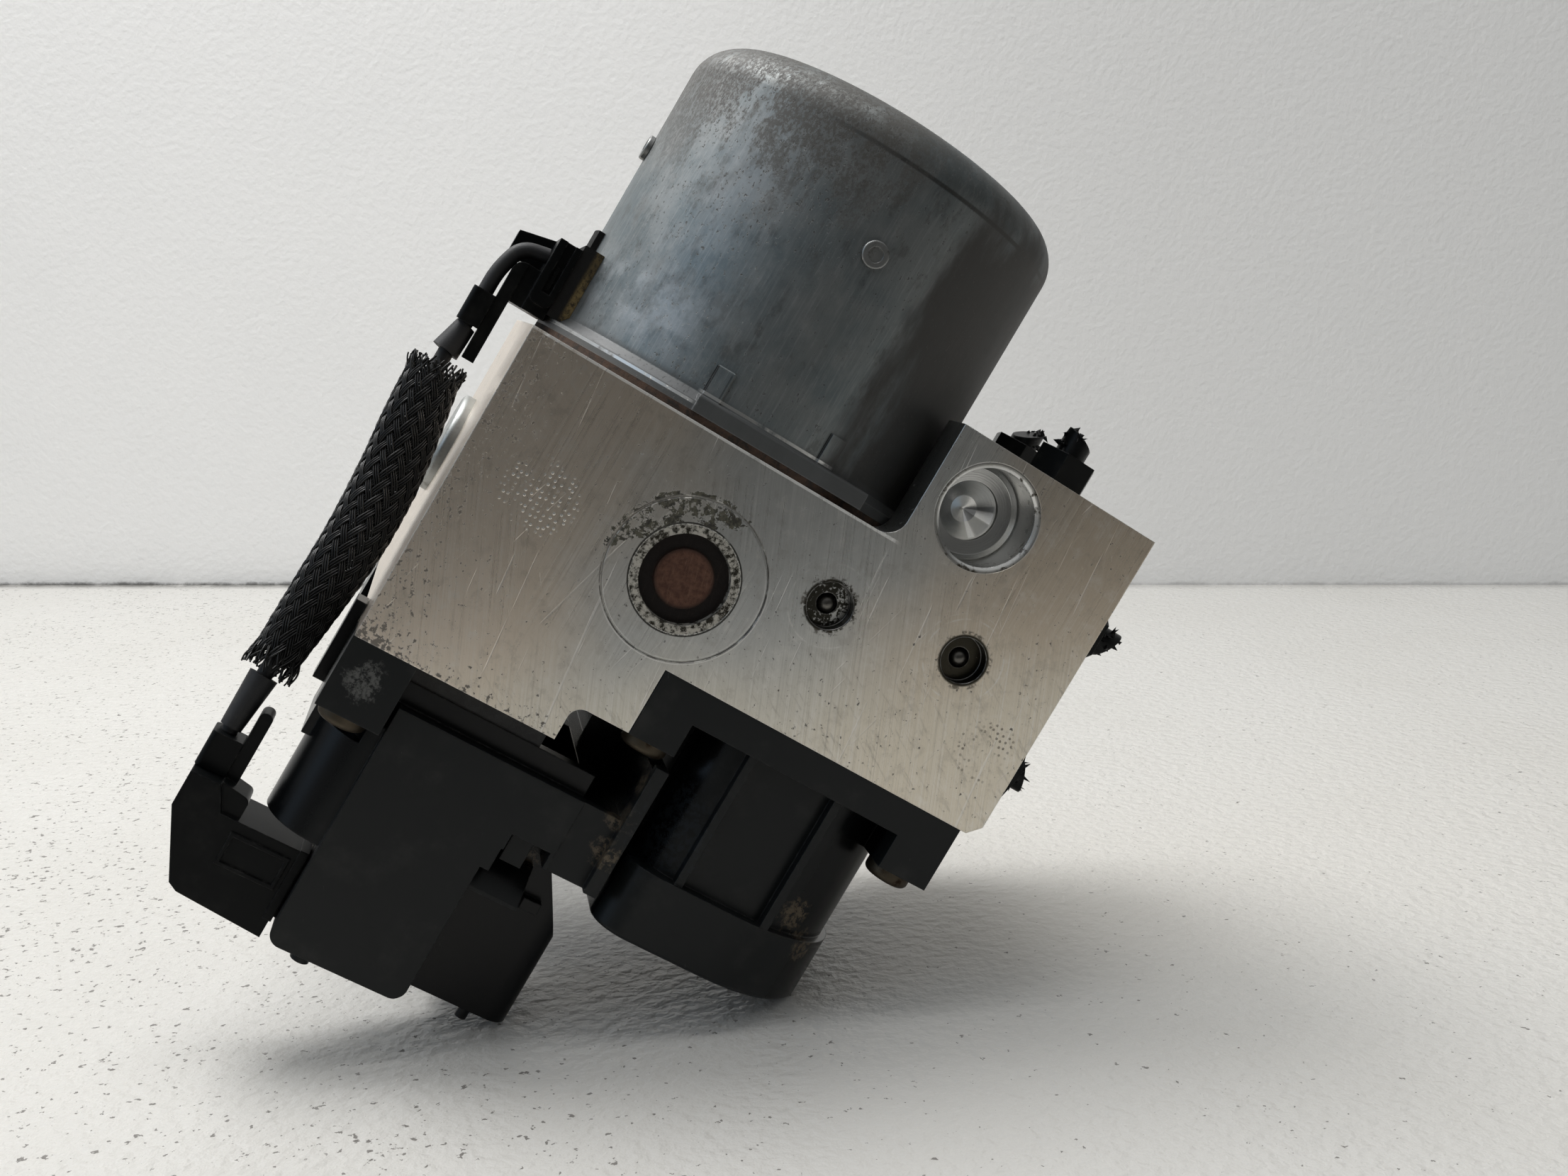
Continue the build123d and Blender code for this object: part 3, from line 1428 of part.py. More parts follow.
def lead_plug():
    """The flat plug with a cut-off corner, its cable arm and the nose that enters the hood."""
    points = (
        (plug_left, plug_neck_z), (plug_left, plug_chamfer_z), (plug_chamfer_x, plug_base_z + 1.0),
        (plug_chamfer_x + 1.8, plug_base_z), (hood_left - 0.6, plug_base_z - plug_base_drop),
        (hood_left - 0.6, plug_nose_base_z), (hood_left - 1.9, plug_nose_base_z), (hood_left - 1.9,
                                                                                   plug_top_z),
        (plug_arm_x + arm_width, plug_top_z), (plug_arm_x, plug_neck_z),
    )
    body = side_extrusion(points, (plug_front_y, plug_back_y))
    shoulder = side_extrusion((
        (plug_arm_x, plug_top_z - 1), (plug_arm_x, plug_shoulder_top_z), (plug_shoulder_x,
                                                                          plug_shoulder_top_z - 1.0),
        (plug_shoulder_x, plug_top_z - 1)), plug_shoulder_y)
    body += fillet(edges_at(shoulder, Axis.Y, x=plug_shoulder_x, z=plug_shoulder_top_z - 1.0), 1.2)
    collar = bar((hood_left - 1.9, hood_left - 1.9 + plug_collar_thickness + 0.8),
                 (plug_front_y - 0.7, plug_back_y + 0.7), (plug_base_z + 2.4, plug_top_z + 0.4))
    nose = bar((hood_left - 1.0, hood_left + plug_nose_length), (plug_front_y + 1.4, plug_back_y - 1.4),
               (plug_nose_base_z, plug_nose_top_z))
    rim = plug_panel(0, (plug_front_y - 0.5, plug_front_y + 0.5))
    rim -= plug_panel(plug_panel_rim, (plug_front_y - 2, plug_front_y + 0.2))
    arm = bar((plug_arm_x, plug_arm_x + arm_width), (plug_arm_front_y, plug_arm_front_y + arm_depth),
              (plug_top_z - 2.0, plug_arm_top_z))
    arm = fillet(edges_at(arm, Axis.Y, z=plug_arm_top_z), 1.1)
    plug = body + collar + nose + rim + arm
    return plug - lead_room(0, len(lead_points) - 1, cable_radius + touch_gap)


def plug_panel(inset, y):
    """The bare raised panel on the plug's face, drawn in from its outline by an inset."""
    return bar((plug_panel_x[0] + inset, plug_panel_x[1] - inset), y,
               (plug_panel_z[0] + inset, plug_panel_z[1] - inset))


# Write every piece

def main():
    write("valve_block", valve_block())
    write("ball_plugs", ball_plugs())
    write("damper_cup", damper_cup())
    write("pump_plugs", pump_plugs())
    for name, side in (("front", -1), ("rear", 1)):
        write(f"pump_piston_{name}", pump_piston(side))
        write(f"pump_spring_{name}", pump_spring(side))
    write("accumulator_caps", group(place * accumulator_cap() for place in accumulator_places.values()))
    for name, place in accumulator_places.items():
        write(f"accumulator_piston_{name}", place * accumulator_piston())
        write(f"accumulator_spring_{name}", place * accumulator_spring())
    write("motor_gasket", motor_gasket())
    write("motor_can", motor_can())
    write("can_rivets", can_rivets())
    write("motor_end_plate", motor_end_plate())
    write("base_bearing", base_bearing())
    write("top_bearing", top_bearing())
    write("nose_bearing", nose_bearing())
    write("field_magnets", field_magnets())
    write("rotor_shaft", rotor_shaft())
    write("eccentric_ring", eccentric_ring())
    write("armature_core", armature_core())
    write("armature_windings", armature_windings())
    write("commutator", commutator())
    write("brush_holder", brush_holder())
    for name, side in (("left", -1), ("right", 1)):
        write(f"brush_{name}", brush(side))
        write(f"brush_spring_{name}", brush_spring(side))
    write("motor_screws", motor_screws())
    write("motor_terminals", motor_terminals())
    write("valve_cartridges", valve_cartridges())
    for number, (x, y) in enumerate(valve_places, start=1):
        write(f"valve_plunger_{number}", valve_plunger(x, y))
    write("solenoid_coils", solenoid_coils())
    write("ecu_housing", ecu_housing())
    write("ecu_cover", ecu_cover())
    write("circuit_board", circuit_board())
    write("ecu_seal", ecu_seal())
    write("ecu_screws", ecu_screws())
    write("signal_pins", group(signal_pins()))
    write("power_pins", group(power_pins()))
    write("inlet_port_plugs", inlet_port_plugs())
    write("outlet_port_plugs", outlet_port_plugs())
    write("connector_pad", connector_pad())
    write("motor_connector", motor_connector())
    write("lead_cable", lead_cable())
    write("lead_boots", lead_boots())
    write("lead_clips", lead_clips())
    write("braided_sleeve", braided_sleeve())
    write("lead_plug", lead_plug())


main()
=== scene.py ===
# %% [markdown]
# # A used brake pressure unit
# The unit is a machined aluminium valve block. A pump motor stands on it in a drawn zinc
# plated can, and a black moulded control unit hangs below it. A braided lead runs down its
# side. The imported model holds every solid, so this file brings it in as a fixed frame and
# adds what a solid model leaves out: finishes, dirt, wear, the braid and torn plastic.

# %% Load the frame
import json
from math import cos, pi, radians, sin

import bpy
from mathutils import Matrix, Vector

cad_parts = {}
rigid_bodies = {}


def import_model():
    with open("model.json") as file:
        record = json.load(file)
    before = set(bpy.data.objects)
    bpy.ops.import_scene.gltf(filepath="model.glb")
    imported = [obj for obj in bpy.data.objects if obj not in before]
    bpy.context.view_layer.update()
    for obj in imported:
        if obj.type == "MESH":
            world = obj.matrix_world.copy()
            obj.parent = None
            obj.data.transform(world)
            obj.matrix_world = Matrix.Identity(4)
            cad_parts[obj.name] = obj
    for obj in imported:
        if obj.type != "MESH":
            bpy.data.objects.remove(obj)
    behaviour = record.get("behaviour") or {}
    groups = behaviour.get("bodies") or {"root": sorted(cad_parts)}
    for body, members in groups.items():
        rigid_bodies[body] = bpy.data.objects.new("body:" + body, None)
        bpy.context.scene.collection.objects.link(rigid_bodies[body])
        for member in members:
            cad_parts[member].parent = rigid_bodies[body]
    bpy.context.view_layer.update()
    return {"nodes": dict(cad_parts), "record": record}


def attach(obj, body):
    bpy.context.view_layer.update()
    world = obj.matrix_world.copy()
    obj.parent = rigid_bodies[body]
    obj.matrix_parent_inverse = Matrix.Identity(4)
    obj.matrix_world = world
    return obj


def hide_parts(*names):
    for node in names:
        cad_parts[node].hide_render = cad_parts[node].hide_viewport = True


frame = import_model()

mm = 0.001
nodes = frame["nodes"]
print("frame holds", len(nodes), "pieces")

# %% [markdown]
# ## Where it lies
# The unit doesn't stand on a foot. It leans on the corners of its connectors, 31 degrees
# over. A frame can't be turned here, so the room is turned instead: the floor, the wall,
# the lamps and the camera are all placed in a basis whose up direction leans by that angle.

# %% The leaning room
lean = radians(31.24)
along = Vector((cos(lean), 0, sin(lean)))
back = Vector((0, 1, 0))
up = Vector((-sin(lean), 0, cos(lean)))
floor_level = -86.8 * mm


def in_room(right, deep, high):
    """A point in the room, in metres from the frame's origin."""
    return along * right + back * deep + up * high


print("up in the frame", [round(c, 3) for c in up])

# %% [markdown]
# ## Camera
# The photograph was taken with a phone from about a third of a metre. Its heading, its
# pitch and its place come from edges of known length. The focal length is given in the
# photograph's pixels, and it becomes a lens for the sensor's width.

# %% Camera
photo_width, photo_height = 2212, 1659
focal_pixels = 2206.67
heading = radians(11.43)
pitch = radians(10.33)
camera_place = Vector((-55.92, -349.88, 21.90)) * mm

camera_data = bpy.data.cameras.new("photo_camera")
camera_data.sensor_width = 36.0
camera_data.lens = focal_pixels / photo_width * camera_data.sensor_width
camera_data.clip_start = 0.01
camera = bpy.data.objects.new("photo_camera", camera_data)
bpy.context.scene.collection.objects.link(camera)
level = along * sin(heading) + back * cos(heading)
forward = level * cos(pitch) - up * sin(pitch)
right = along * cos(heading) - back * sin(heading)
above = right.cross(forward)
turn = Matrix((right, above, -forward)).transposed().to_4x4()
camera.matrix_world = Matrix.Translation(camera_place) @ turn
bpy.context.scene.camera = camera
print("lens", round(camera_data.lens, 2), "mm")

# %% [markdown]
# ## Shader maths
# A finish is a small graph of nodes, and so are the light of the room and a Geometry Nodes
# tree. A graph could be drawn by hand in the editor, but then this file wouldn't show how.
# Written out with bare nodes it is hard to read. So an output is wrapped in a class that
# knows plus, minus, times and divide, and each of them adds one Math node. Every other node
# comes from one method, `node`, which takes a type, settings and the values of its sockets.

# %% Wire
class Wire:
    """An output of a node. Arithmetic on it adds Math nodes."""

    def __init__(self, graph, socket):
        self.graph = graph
        self.socket = socket

    def other(self, name):
        """Another output of the same node."""
        return Wire(self.graph, self.socket.node.outputs[name])

    def math(self, operation, first, second=0.0):
        return self.graph.node("ShaderNodeMath", {"operation": operation}, {0: first, 1: second})

    def __add__(self, other):
        return self.math("ADD", self, other)

    def __radd__(self, other):
        return self.math("ADD", other, self)

    def __sub__(self, other):
        return self.math("SUBTRACT", self, other)

    def __rsub__(self, other):
        return self.math("SUBTRACT", other, self)

    def __mul__(self, other):
        return self.math("MULTIPLY", self, other)

    def __rmul__(self, other):
        return self.math("MULTIPLY", other, self)

    def __truediv__(self, other):
        return self.math("DIVIDE", self, other)

    def __pow__(self, other):
        return self.math("POWER", self, other)

    def most(self, other):
        return self.math("MAXIMUM", self, other)


# %% Graph
class Graph:
    """Adds nodes to a node tree and joins them."""

    def __init__(self, tree):
        self.tree = tree

    def node(self, kind, settings=None, sockets=None, out=0):
        """Adds a node, sets it up, fills or links its sockets and returns one output."""
        made = self.tree.nodes.new(kind)
        for key, value in (settings or {}).items():
            setattr(made, key, value)
        for key, value in (sockets or {}).items():
            self.join(made.inputs[key], value)
        return Wire(self, made.outputs[out])

    def join(self, socket, value):
        if isinstance(value, Wire):
            self.tree.links.new(value.socket, socket)
        elif socket.type == "RGBA" and len(value) == 3:
            socket.default_value = (*value, 1.0)
        else:
            socket.default_value = value

    def xyz(self, coords):
        split = self.node("ShaderNodeSeparateXYZ", None, {0: coords})
        return split, split.other("Y"), split.other("Z")

    def dot(self, first, second):
        return self.node("ShaderNodeVectorMath", {"operation": "DOT_PRODUCT"}, {0: first, 1: second}, out=1)

    def between(self, value, low, high):
        """0 below low and 1 above high, with a smooth change."""
        return self.node("ShaderNodeMapRange", {"interpolation_type": "SMOOTHSTEP"},
                         {0: value, 1: low, 2: high})

    def mix(self, factor, first, second):
        return self.node("ShaderNodeMix", {"data_type": "RGBA"}, {0: factor, 6: first, 7: second}, out=2)


# %% Finish
finishes = {}


class Finish(Graph):
    """A material with one Principled shader."""

    def __init__(self, name, **constants):
        self.material = bpy.data.materials.new(name)
        self.material.use_nodes = True
        super().__init__(self.material.node_tree)
        finishes[name] = self.material
        self.tree.nodes.clear()
        self.output = self.tree.nodes.new("ShaderNodeOutputMaterial")
        self.shader = self.tree.nodes.new("ShaderNodeBsdfPrincipled")
        self.tree.links.new(self.shader.outputs[0], self.output.inputs["Surface"])
        for socket, value in constants.items():
            self.set(socket.replace("_", " "), value)

    def set(self, socket, value):
        self.join(self.shader.inputs[socket], value)

    def place(self, stretch=(1, 1, 1), move=(0, 0, 0), turn=0.0):
        """Object coordinates in millimetres, moved, turned about y and stretched."""
        raw = self.node("ShaderNodeTexCoord", out=3)
        where = self.node("ShaderNodeMapping", None,
                          {"Vector": raw, "Scale": (1 / mm,) * 3, "Location": tuple(-m for m in move)})
        if turn:
            about_y = (0, radians(turn), 0)
            where = self.node("ShaderNodeMapping", None, {"Vector": where, "Rotation": about_y})
        return self.node("ShaderNodeMapping", None, {"Vector": where, "Scale": stretch})

    def noise(self, coords, scale, detail=4.0, rough=0.55, bend=0.0):
        return self.node("ShaderNodeTexNoise", None,
                         {"Vector": coords, "Scale": scale, "Detail": detail, "Roughness": rough,
                          "Distortion": bend})

    def streaks(self, wide, long, turn=0.0, detail=5.0):
        """Noise drawn out into lines along z. Sizes are in millimetres."""
        coords = self.place(stretch=(1 / wide, 1 / wide, 1 / long), turn=turn)
        return self.noise(coords, 1.0, detail, 0.7)

    def spread(self, value, low, high):
        """Turns 0 to 1 into low to high."""
        return self.node("ShaderNodeMapRange", None, {0: value, 3: low, 4: high})

    def band(self, value, low, high, soft):
        """1 from low to high, with soft sides."""
        return self.between(value, low - soft, low) * (1.0 - self.between(value, high, high + soft))

    def radius(self, first, second):
        """Distance from the axis that two coordinates are measured across."""
        return (first * first + second * second) ** 0.5

    def bump(self, height, depth, normal=None, strength=1.0):
        """depth is in millimetres for a height of 1."""
        sockets = {"Height": height, "Distance": depth * mm, "Strength": strength}
        if normal is not None:
            sockets["Normal"] = normal
        return self.node("ShaderNodeBump", None, sockets)

    def edge(self, size):
        """The normal of edges rounded by size, in millimetres."""
        return self.node("ShaderNodeBevel", {"samples": 4}, {"Radius": size * mm})

    def worn(self, size):
        """1 along sharp edges, where the rounded normal leaves the true one, and 0 on flat faces."""
        true_normal = self.node("ShaderNodeNewGeometry", out=3)
        return 1.0 - self.between(self.dot(self.edge(size), true_normal), 0.80, 0.97)


print("shader helpers are ready")

# %% [markdown]
# ## Places on the pieces
# Dirt, pits and tool marks sit at real places, such as the front face or the rim of a plug.
# Those could be typed in again, but then they would stay behind if the frame changed. So
# they are read from the boxes of the frame's pieces, in millimetres. What no box shows, such
# as where the raised part of the block begins, is a named value beside them.

# %% Places
def box_of(name):
    """The low and the high corner of a piece, to a hundredth of a millimetre."""
    sides = list(zip(*(v.co / mm for v in nodes[name].data.vertices)))
    return Vector(round(min(side), 2) for side in sides), Vector(round(max(side), 2) for side in sides)


front_face = box_of("valve_block")[0].y
flange_level = box_of("motor_gasket")[0].z
plug_edge = box_of("pump_plugs")[1].x
can_foot = box_of("motor_can")[0].z
cup_low, cup_high = box_of("damper_cup")
cup_middle = (cup_low + cup_high) / 2
raised_part = 30.0
print("front face at", round(front_face, 2), "and motor flange at", round(flange_level, 2))

# %% [markdown]
# ## Brushed aluminium
# The block was sawn from bar, then milled and brushed upward. Its front shows fine upright
# lines, cool in the middle and warm at the ends, dull smudges and a few long scratches. The
# left end is paler, a warm tint with a painted highlight, and the lower part is paler still:
# a painted reflection of the pale floor before it. A picture of brushed metal could be laid
# over it, but it would end in seams. Noise that is squeezed along one axis draws streaks
# along the other, so each family of lines is one stretched noise, and each mask, a number
# between 0 and 1, mixes one colour into the next.

# %% Brushed metal
def brushed_metal(f, where, x, low):
    """The colour, the lines and the scratches."""
    drift = f.noise(where, 0.03, 3.0)
    turning = f.between(drift + low * 0.2, 0.44, 0.60)
    upright, leaning = f.streaks(0.30, 45.0), f.streaks(0.30, 36.0, 24.0)
    lines = f.node("ShaderNodeMix", {"data_type": "FLOAT"}, {0: turning, 2: upright, 3: leaning})
    crossed = f.streaks(1.0, 7.0, 58.0)
    smudge = f.noise(where, 0.30, 7.0, 0.72)

    cool, brown, pale = (0.56, 0.57, 0.56), (0.72, 0.62, 0.50), (0.75, 0.70, 0.59)
    to_ends = ((x - 16.0) * (x - 16.0)) ** 0.5
    colour = f.mix(f.between(to_ends + drift * 40.0, 34.0, 62.0), cool, brown)
    # Paler towards the left end: a warm tint with a painted highlight.
    colour = f.mix((1.0 - f.between(x, -34.0, -4.0)) * 0.55, colour, (0.90, 0.80, 0.70))
    colour = f.mix(f.between(x, 24.0, 60.0) * 0.35, colour, (0.42, 0.36, 0.285))
    # The paler lower part is a painted reflection of the pale floor.
    colour = f.mix(low * 0.75, colour, pale)
    colour = f.mix(f.between(lines, 0.48, 0.70) * (low * 0.20 + 0.28), colour, (0.82, 0.81, 0.79))
    colour = f.mix((1.0 - f.between(lines, 0.28, 0.50)) * (low * 0.12 + 0.22), colour, (0.28, 0.27, 0.26))
    colour = f.mix(f.between(smudge, 0.52, 0.70) * 0.30, colour, (0.84, 0.82, 0.78))
    colour = f.mix((1.0 - f.between(smudge, 0.34, 0.48)) * 0.22, colour, (0.30, 0.275, 0.24))
    colour = f.mix(f.between(crossed, 0.52, 0.72) * (low * 0.40 + 0.08), colour, (0.27, 0.245, 0.21))

    scratches = f.between(f.streaks(0.9, 42.0, 6.0, 2.0), 0.665, 0.70)
    scratches = scratches + f.between(f.streaks(0.9, 26.0, -16.0, 2.0), 0.69, 0.73) * 0.7
    scratches = scratches + f.between(f.streaks(0.5, 9.0, 36.0, 2.0), 0.71, 0.75) * 0.8
    colour = f.mix(scratches * 0.35, colour, (0.86, 0.85, 0.83))
    return colour, lines, scratches


# %% [markdown]
# ## Pits and corrosion
# Salt water has pitted the block along its left and lower edges, and olive corrosion crumbles
# over the upper side of the pump plug. Inside it the bore's rim is flecked, and outside runs
# a scribed ring with a painted highlight along its lower side. Dirt could be painted by hand
# on an unwrapped face. A mask from a noise, a threshold and a distance stays sharp and sits
# on the right edge.

# %% Pits and corrosion
def pitted(f, where, x, z, on_front, colour):
    """The colour and the pits."""
    near_left = 1.0 - f.between(x, -44.0, -30.0)
    near_base = 1.0 - f.between(z, -37.0, -29.0)
    crowd = f.noise(where, 0.10, 3.0) * 0.10 + (near_left * 0.075 + near_base * 0.095) * on_front
    pits = f.between(f.noise(where, 0.95, 6.0, 0.68) + crowd, 0.690, 0.705)
    return f.mix(pits * 0.85, colour, (0.07, 0.06, 0.05)), pits


def corroded(f, where, x, z, on_front, colour):
    """The colour, the corrosion and the rim of the plug's bore."""
    from_plug = f.radius(x, z)
    bore = plug_edge + 0.2
    ring = bore + 5.0
    raised_side = f.between(x * up.x + z * up.z + (x * -0.12), 5.5, 9.5)
    reach = raised_side * f.band(from_plug, bore + 0.2, ring + 0.4, 2.0) * on_front
    rot = f.between(f.noise(where, 0.42, 7.0, 0.74, 0.3) + reach * 0.5, 0.985, 1.0)
    crumbling = f.between(f.noise(where, 1.3, 4.0, 0.7), 0.40, 0.62)
    colour = f.mix(rot, colour, f.mix(crumbling, (0.085, 0.08, 0.055), (0.018, 0.016, 0.011)))

    flecks = f.between(f.noise(where, 1.5, 5.0, 0.75), 0.46, 0.54)
    rim = f.band(from_plug, bore - 2.5, bore, 0.15)
    colour = f.mix(rim * 0.85, colour, f.mix(flecks, (0.62, 0.60, 0.53), (0.030, 0.028, 0.020)))
    rim_line = f.band(from_plug, bore, bore + 0.2, 0.10) * f.between(f.noise(where, 0.3, 3.0), 0.26, 0.40)
    colour = f.mix(rim_line * 0.9, colour, (0.020, 0.018, 0.014))

    broken = f.between(f.noise(where, 0.35, 5.0, 0.7), 0.36, 0.52)
    scribed = f.band(from_plug, ring - 0.15, ring, 0.10) * broken
    colour = f.mix(scribed * 0.85, colour, (0.05, 0.042, 0.03))
    # A painted highlight beside the scribed ring, on its lower side.
    painted_ring_highlight = f.band(from_plug, ring + 0.15, ring + 0.25, 0.10) * f.between(f.dot(where, up), 2.0, -8.0)
    return f.mix(painted_ring_highlight * 0.6, colour, (0.90, 0.89, 0.87)), rot, rim


# %% [markdown]
# ## Ball recesses and peened dots
# Two steel balls close oil ways in the front. Each sits in a recess with a dark lip, oily
# grime, crust round the edge and two faint circles from the tool that pressed it. Two
# patches of tiny dots were peened beside them. The circles follow the distance from the
# recess, and the dots are a flat Voronoi pattern, whose cells stand in near rows when its
# randomness is low. A thousand real dents would cost triangles and show no more.

# %% Recesses and dots
front_recesses = ((25.3, 8.7, 0.35), (52.6, 12.2, 0.85))
recess_radius = 4.35


def around_recesses(f, where, x, z, on_front, polished, colour):
    for ball_x, ball_z, oily in front_recesses:
        out = f.radius(x - ball_x, z - ball_z)
        circles = f.band(out, 7.7, 7.8, 0.18) + f.band(out, 8.8, 8.85, 0.15) * 0.5
        circles = circles * f.between(polished, 0.40, 0.60) * 0.5 * on_front
        colour = f.mix(circles, colour, (0.80, 0.79, 0.77))
        to_right = f.between(x - ball_x, -1.0, 4.0) * (1.0 - oily) * 0.17
        wet = f.noise(where, 1.4, 5.0, 0.72) + (oily - 0.5) * 0.30 + 0.13 - to_right
        inside = 1.0 - f.between(out, recess_radius + 0.35, recess_radius + 0.75)
        colour = f.mix(inside * f.between(wet, 0.46, 0.52) * 0.97, colour, (0.024, 0.022, 0.015))
        lip = f.band(out, recess_radius - 0.2, recess_radius + 0.15, 0.15)
        colour = f.mix(lip * 0.9, colour, (0.018, 0.016, 0.012))
        crumbs = f.between(f.noise(where, 0.7, 5.0, 0.7), 0.48, 0.60)
        crust = f.band(out, recess_radius + 0.55, recess_radius + 0.95, 0.5) * crumbs * on_front
        colour = f.mix(crust * 0.8, colour, (0.08, 0.07, 0.055))
    return colour


def peened(f, where, x, z, on_front, colour):
    """The colour, the bright dots on the left and the dark ones on the right."""
    flat = f.node("ShaderNodeCombineXYZ", None, {0: x, 1: z})
    rows = f.node("ShaderNodeTexVoronoi", {"voronoi_dimensions": "2D"},
                  {"Vector": flat, "Scale": 0.85, "Randomness": 0.45})
    dots = 1.0 - f.between(rows, 0.16, 0.26)
    fade = f.between(f.noise(where, 0.25, 3.0), 0.36, 0.56) * on_front
    left_dots = dots * fade * (1.0 - f.between(f.radius(x + 29.2, z - 0.2), 5.8, 8.0))
    right_dots = dots * fade * (1.0 - f.between(f.radius(x - 65.7, z + 0.4), 5.0, 7.0))
    colour = f.mix(left_dots * 0.85, colour, (0.93, 0.93, 0.92))
    return f.mix(right_dots * 0.70, colour, (0.14, 0.12, 0.10)), left_dots, right_dots


# %% [markdown]
# ## The block's finish
# The parts above are laid over each other like coats: metal, pits, corrosion, grime, dots,
# and last the edges, which are rubbed bright, and a painted highlight along the top front
# edge under the motor flange. Corrosion isn't metal any more, so the same masks lower
# Metallic and raise Roughness, and they carve or lift the bump.

# %% Block finish
def block_finish():
    f = Finish("block_aluminium")
    where = f.place()
    x, y, z = f.xyz(where)
    on_front = 1.0 - f.between(y, front_face + 0.1, front_face + 0.4)
    # low is the lower part of the front: it carries the painted floor reflection and stronger lines.
    low = 1.0 - f.between(f.dot(where, up) + f.noise(where, 0.05, 3.0) * 14.0, -24.0, 2.0)
    polished = f.noise(where, 0.30, 4.0, 0.7)

    colour, lines, scratches = brushed_metal(f, where, x, low)
    colour, pits = pitted(f, where, x, z, on_front, colour)
    colour, rot, rim = corroded(f, where, x, z, on_front, colour)
    colour = around_recesses(f, where, x, z, on_front, polished, colour)
    colour, left_dots, right_dots = peened(f, where, x, z, on_front, colour)
    colour = f.mix(f.worn(0.4) * f.between(polished, 0.30, 0.60) * 0.4, colour, (0.86, 0.85, 0.83))
    # A painted highlight along the top front edge under the motor flange, left of the raised part.
    before_raised = 1.0 - f.between(x, raised_part - 1.0, raised_part + 1.0)
    painted_top_highlight = f.band(z, flange_level - 0.45, flange_level + 0.05, 0.10) * before_raised * on_front
    colour = f.mix(painted_top_highlight * f.between(polished, 0.25, 0.50) * 0.8, colour, (0.95, 0.94, 0.91))

    f.set("Base Color", colour)
    f.set("Metallic", 1.0 - rot.most(pits * 0.8).most(rim * 0.6).most(painted_top_highlight * 0.4))
    f.set("Roughness", f.spread(lines, 0.22, 0.36) + low * 0.04 + rot * 0.3 + pits * 0.2)
    height = lines * 0.8 - pits * 2.5 - scratches * 0.8 - rot * 1.6 - right_dots * 1.2 + left_dots
    f.set("Normal", f.bump(height, 0.05, f.edge(0.25), 0.5))
    return f.material


block_aluminium = block_finish()
print("block finish has", len(block_aluminium.node_tree.nodes), "nodes")

# %% [markdown]
# ## The motor can
# The can was drawn from zinc plated sheet. Drawing leaves fine lines along the axis, and
# years under a bonnet leave dull blue grey zinc with a dark mottle. One metal colour with a
# noise for roughness would look new, because age shows in the colour first. So patches,
# mottle and lines are mixed one after another, each at its own scale.

# %% Aged zinc
def aged_zinc(f, where, mottle, drawn):
    patch = f.noise(where, 0.045, 4.0, 0.6)
    colour = f.mix(f.between(patch, 0.38, 0.62), (0.135, 0.160, 0.168), (0.190, 0.204, 0.204))
    colour = f.mix(f.between(mottle, 0.50, 0.75) * 0.30, colour, (0.33, 0.33, 0.32))
    colour = f.mix(f.between(drawn, 0.45, 0.80) * 0.30, colour, (0.46, 0.46, 0.46))
    return f.mix((1.0 - f.between(mottle, 0.36, 0.47)) * 0.40, colour, (0.062, 0.060, 0.054))


# %% [markdown]
# ## Dirt and painted light on the can
# Oily dirt lies in clouds on the upper left and over the shoulder. The left side has lighter
# patches and a bluish band, a painted sheen of the bright left of the room. The right side
# is darker, oily dirt with painted shade, and black in the corner beside the raised part of
# the block. Pits are longer than they are wide, because water ran down them. Every kind of
# dirt is a noise that is pushed up where the can is dirty, so its edge stays ragged and never
# shows the straight line of a plain gradient.

# %% Can dirt
def soiled(f, where, x, z, painted_left_sheen, at_top, colour):
    """The colour, the soil and the dark right side: oily dirt with painted shade, black beside the raised
    part.
    """
    # Lighter patches on the left: a painted sheen of the bright left of the room.
    colour = f.mix(painted_left_sheen * 0.25, colour, (0.36, 0.36, 0.35))
    grains = f.between(f.noise(f.place(stretch=(1.0, 1.0, 0.7)), 1.6, 5.0, 0.76), 0.44, 0.53)
    clouds = f.noise(f.place(stretch=(1.0, 1.0, 0.6)), 0.11, 8.0, 0.76)
    soil = f.between(clouds + at_top * 0.14, 0.54, 0.60) * (at_top * 0.80 + 0.20) * (grains * 0.70 + 0.30)
    colour = f.mix(soil, colour, (0.036, 0.031, 0.024))
    colour = f.mix(at_top * 0.30, colour, (0.13, 0.125, 0.115))
    shoulder = f.between(z, 76.0, 89.0) * f.between(f.noise(where, 0.2, 5.0, 0.7), 0.25, 0.55)
    colour = f.mix(shoulder * 0.50, colour, (0.075, 0.072, 0.064))
    # Darker to the right and black beside the raised part: oily dirt with painted shade.
    at_right = f.between(x, 2.0, 30.0) * (1.0 - f.between(z, 62.0, 94.0) * 0.75)
    dark = f.between(f.noise(f.place(stretch=(1.0, 1.0, 0.3)), 0.10, 5.0) + at_right * 0.60, 0.56, 0.84)
    return f.mix(dark * 0.92, colour, (0.024, 0.021, 0.018)), soil, dark


def can_pits(f, where, at_left, at_top):
    crowd = f.noise(where, 0.055, 3.0) * 0.16 + at_top * 0.05 + at_left * 0.015
    return f.between(f.noise(f.place(stretch=(1.0, 1.0, 0.7)), 1.7, 4.0, 0.66) + crowd, 0.715, 0.75)


# %% [markdown]
# ## Fold highlights and slits at the foot
# The can's foot is folded under a lip, and two tabs beside it were cut free with narrow
# slits. A fold catches the light as a thin bright line, which is painted here as a highlight,
# and a slit is a dark one. They are less than half a millimetre wide, so they are painted
# where they lie: a band across the height times a band along the width.

# %% Folds and slits
lip_left, lip_right = -13.5, 12.5


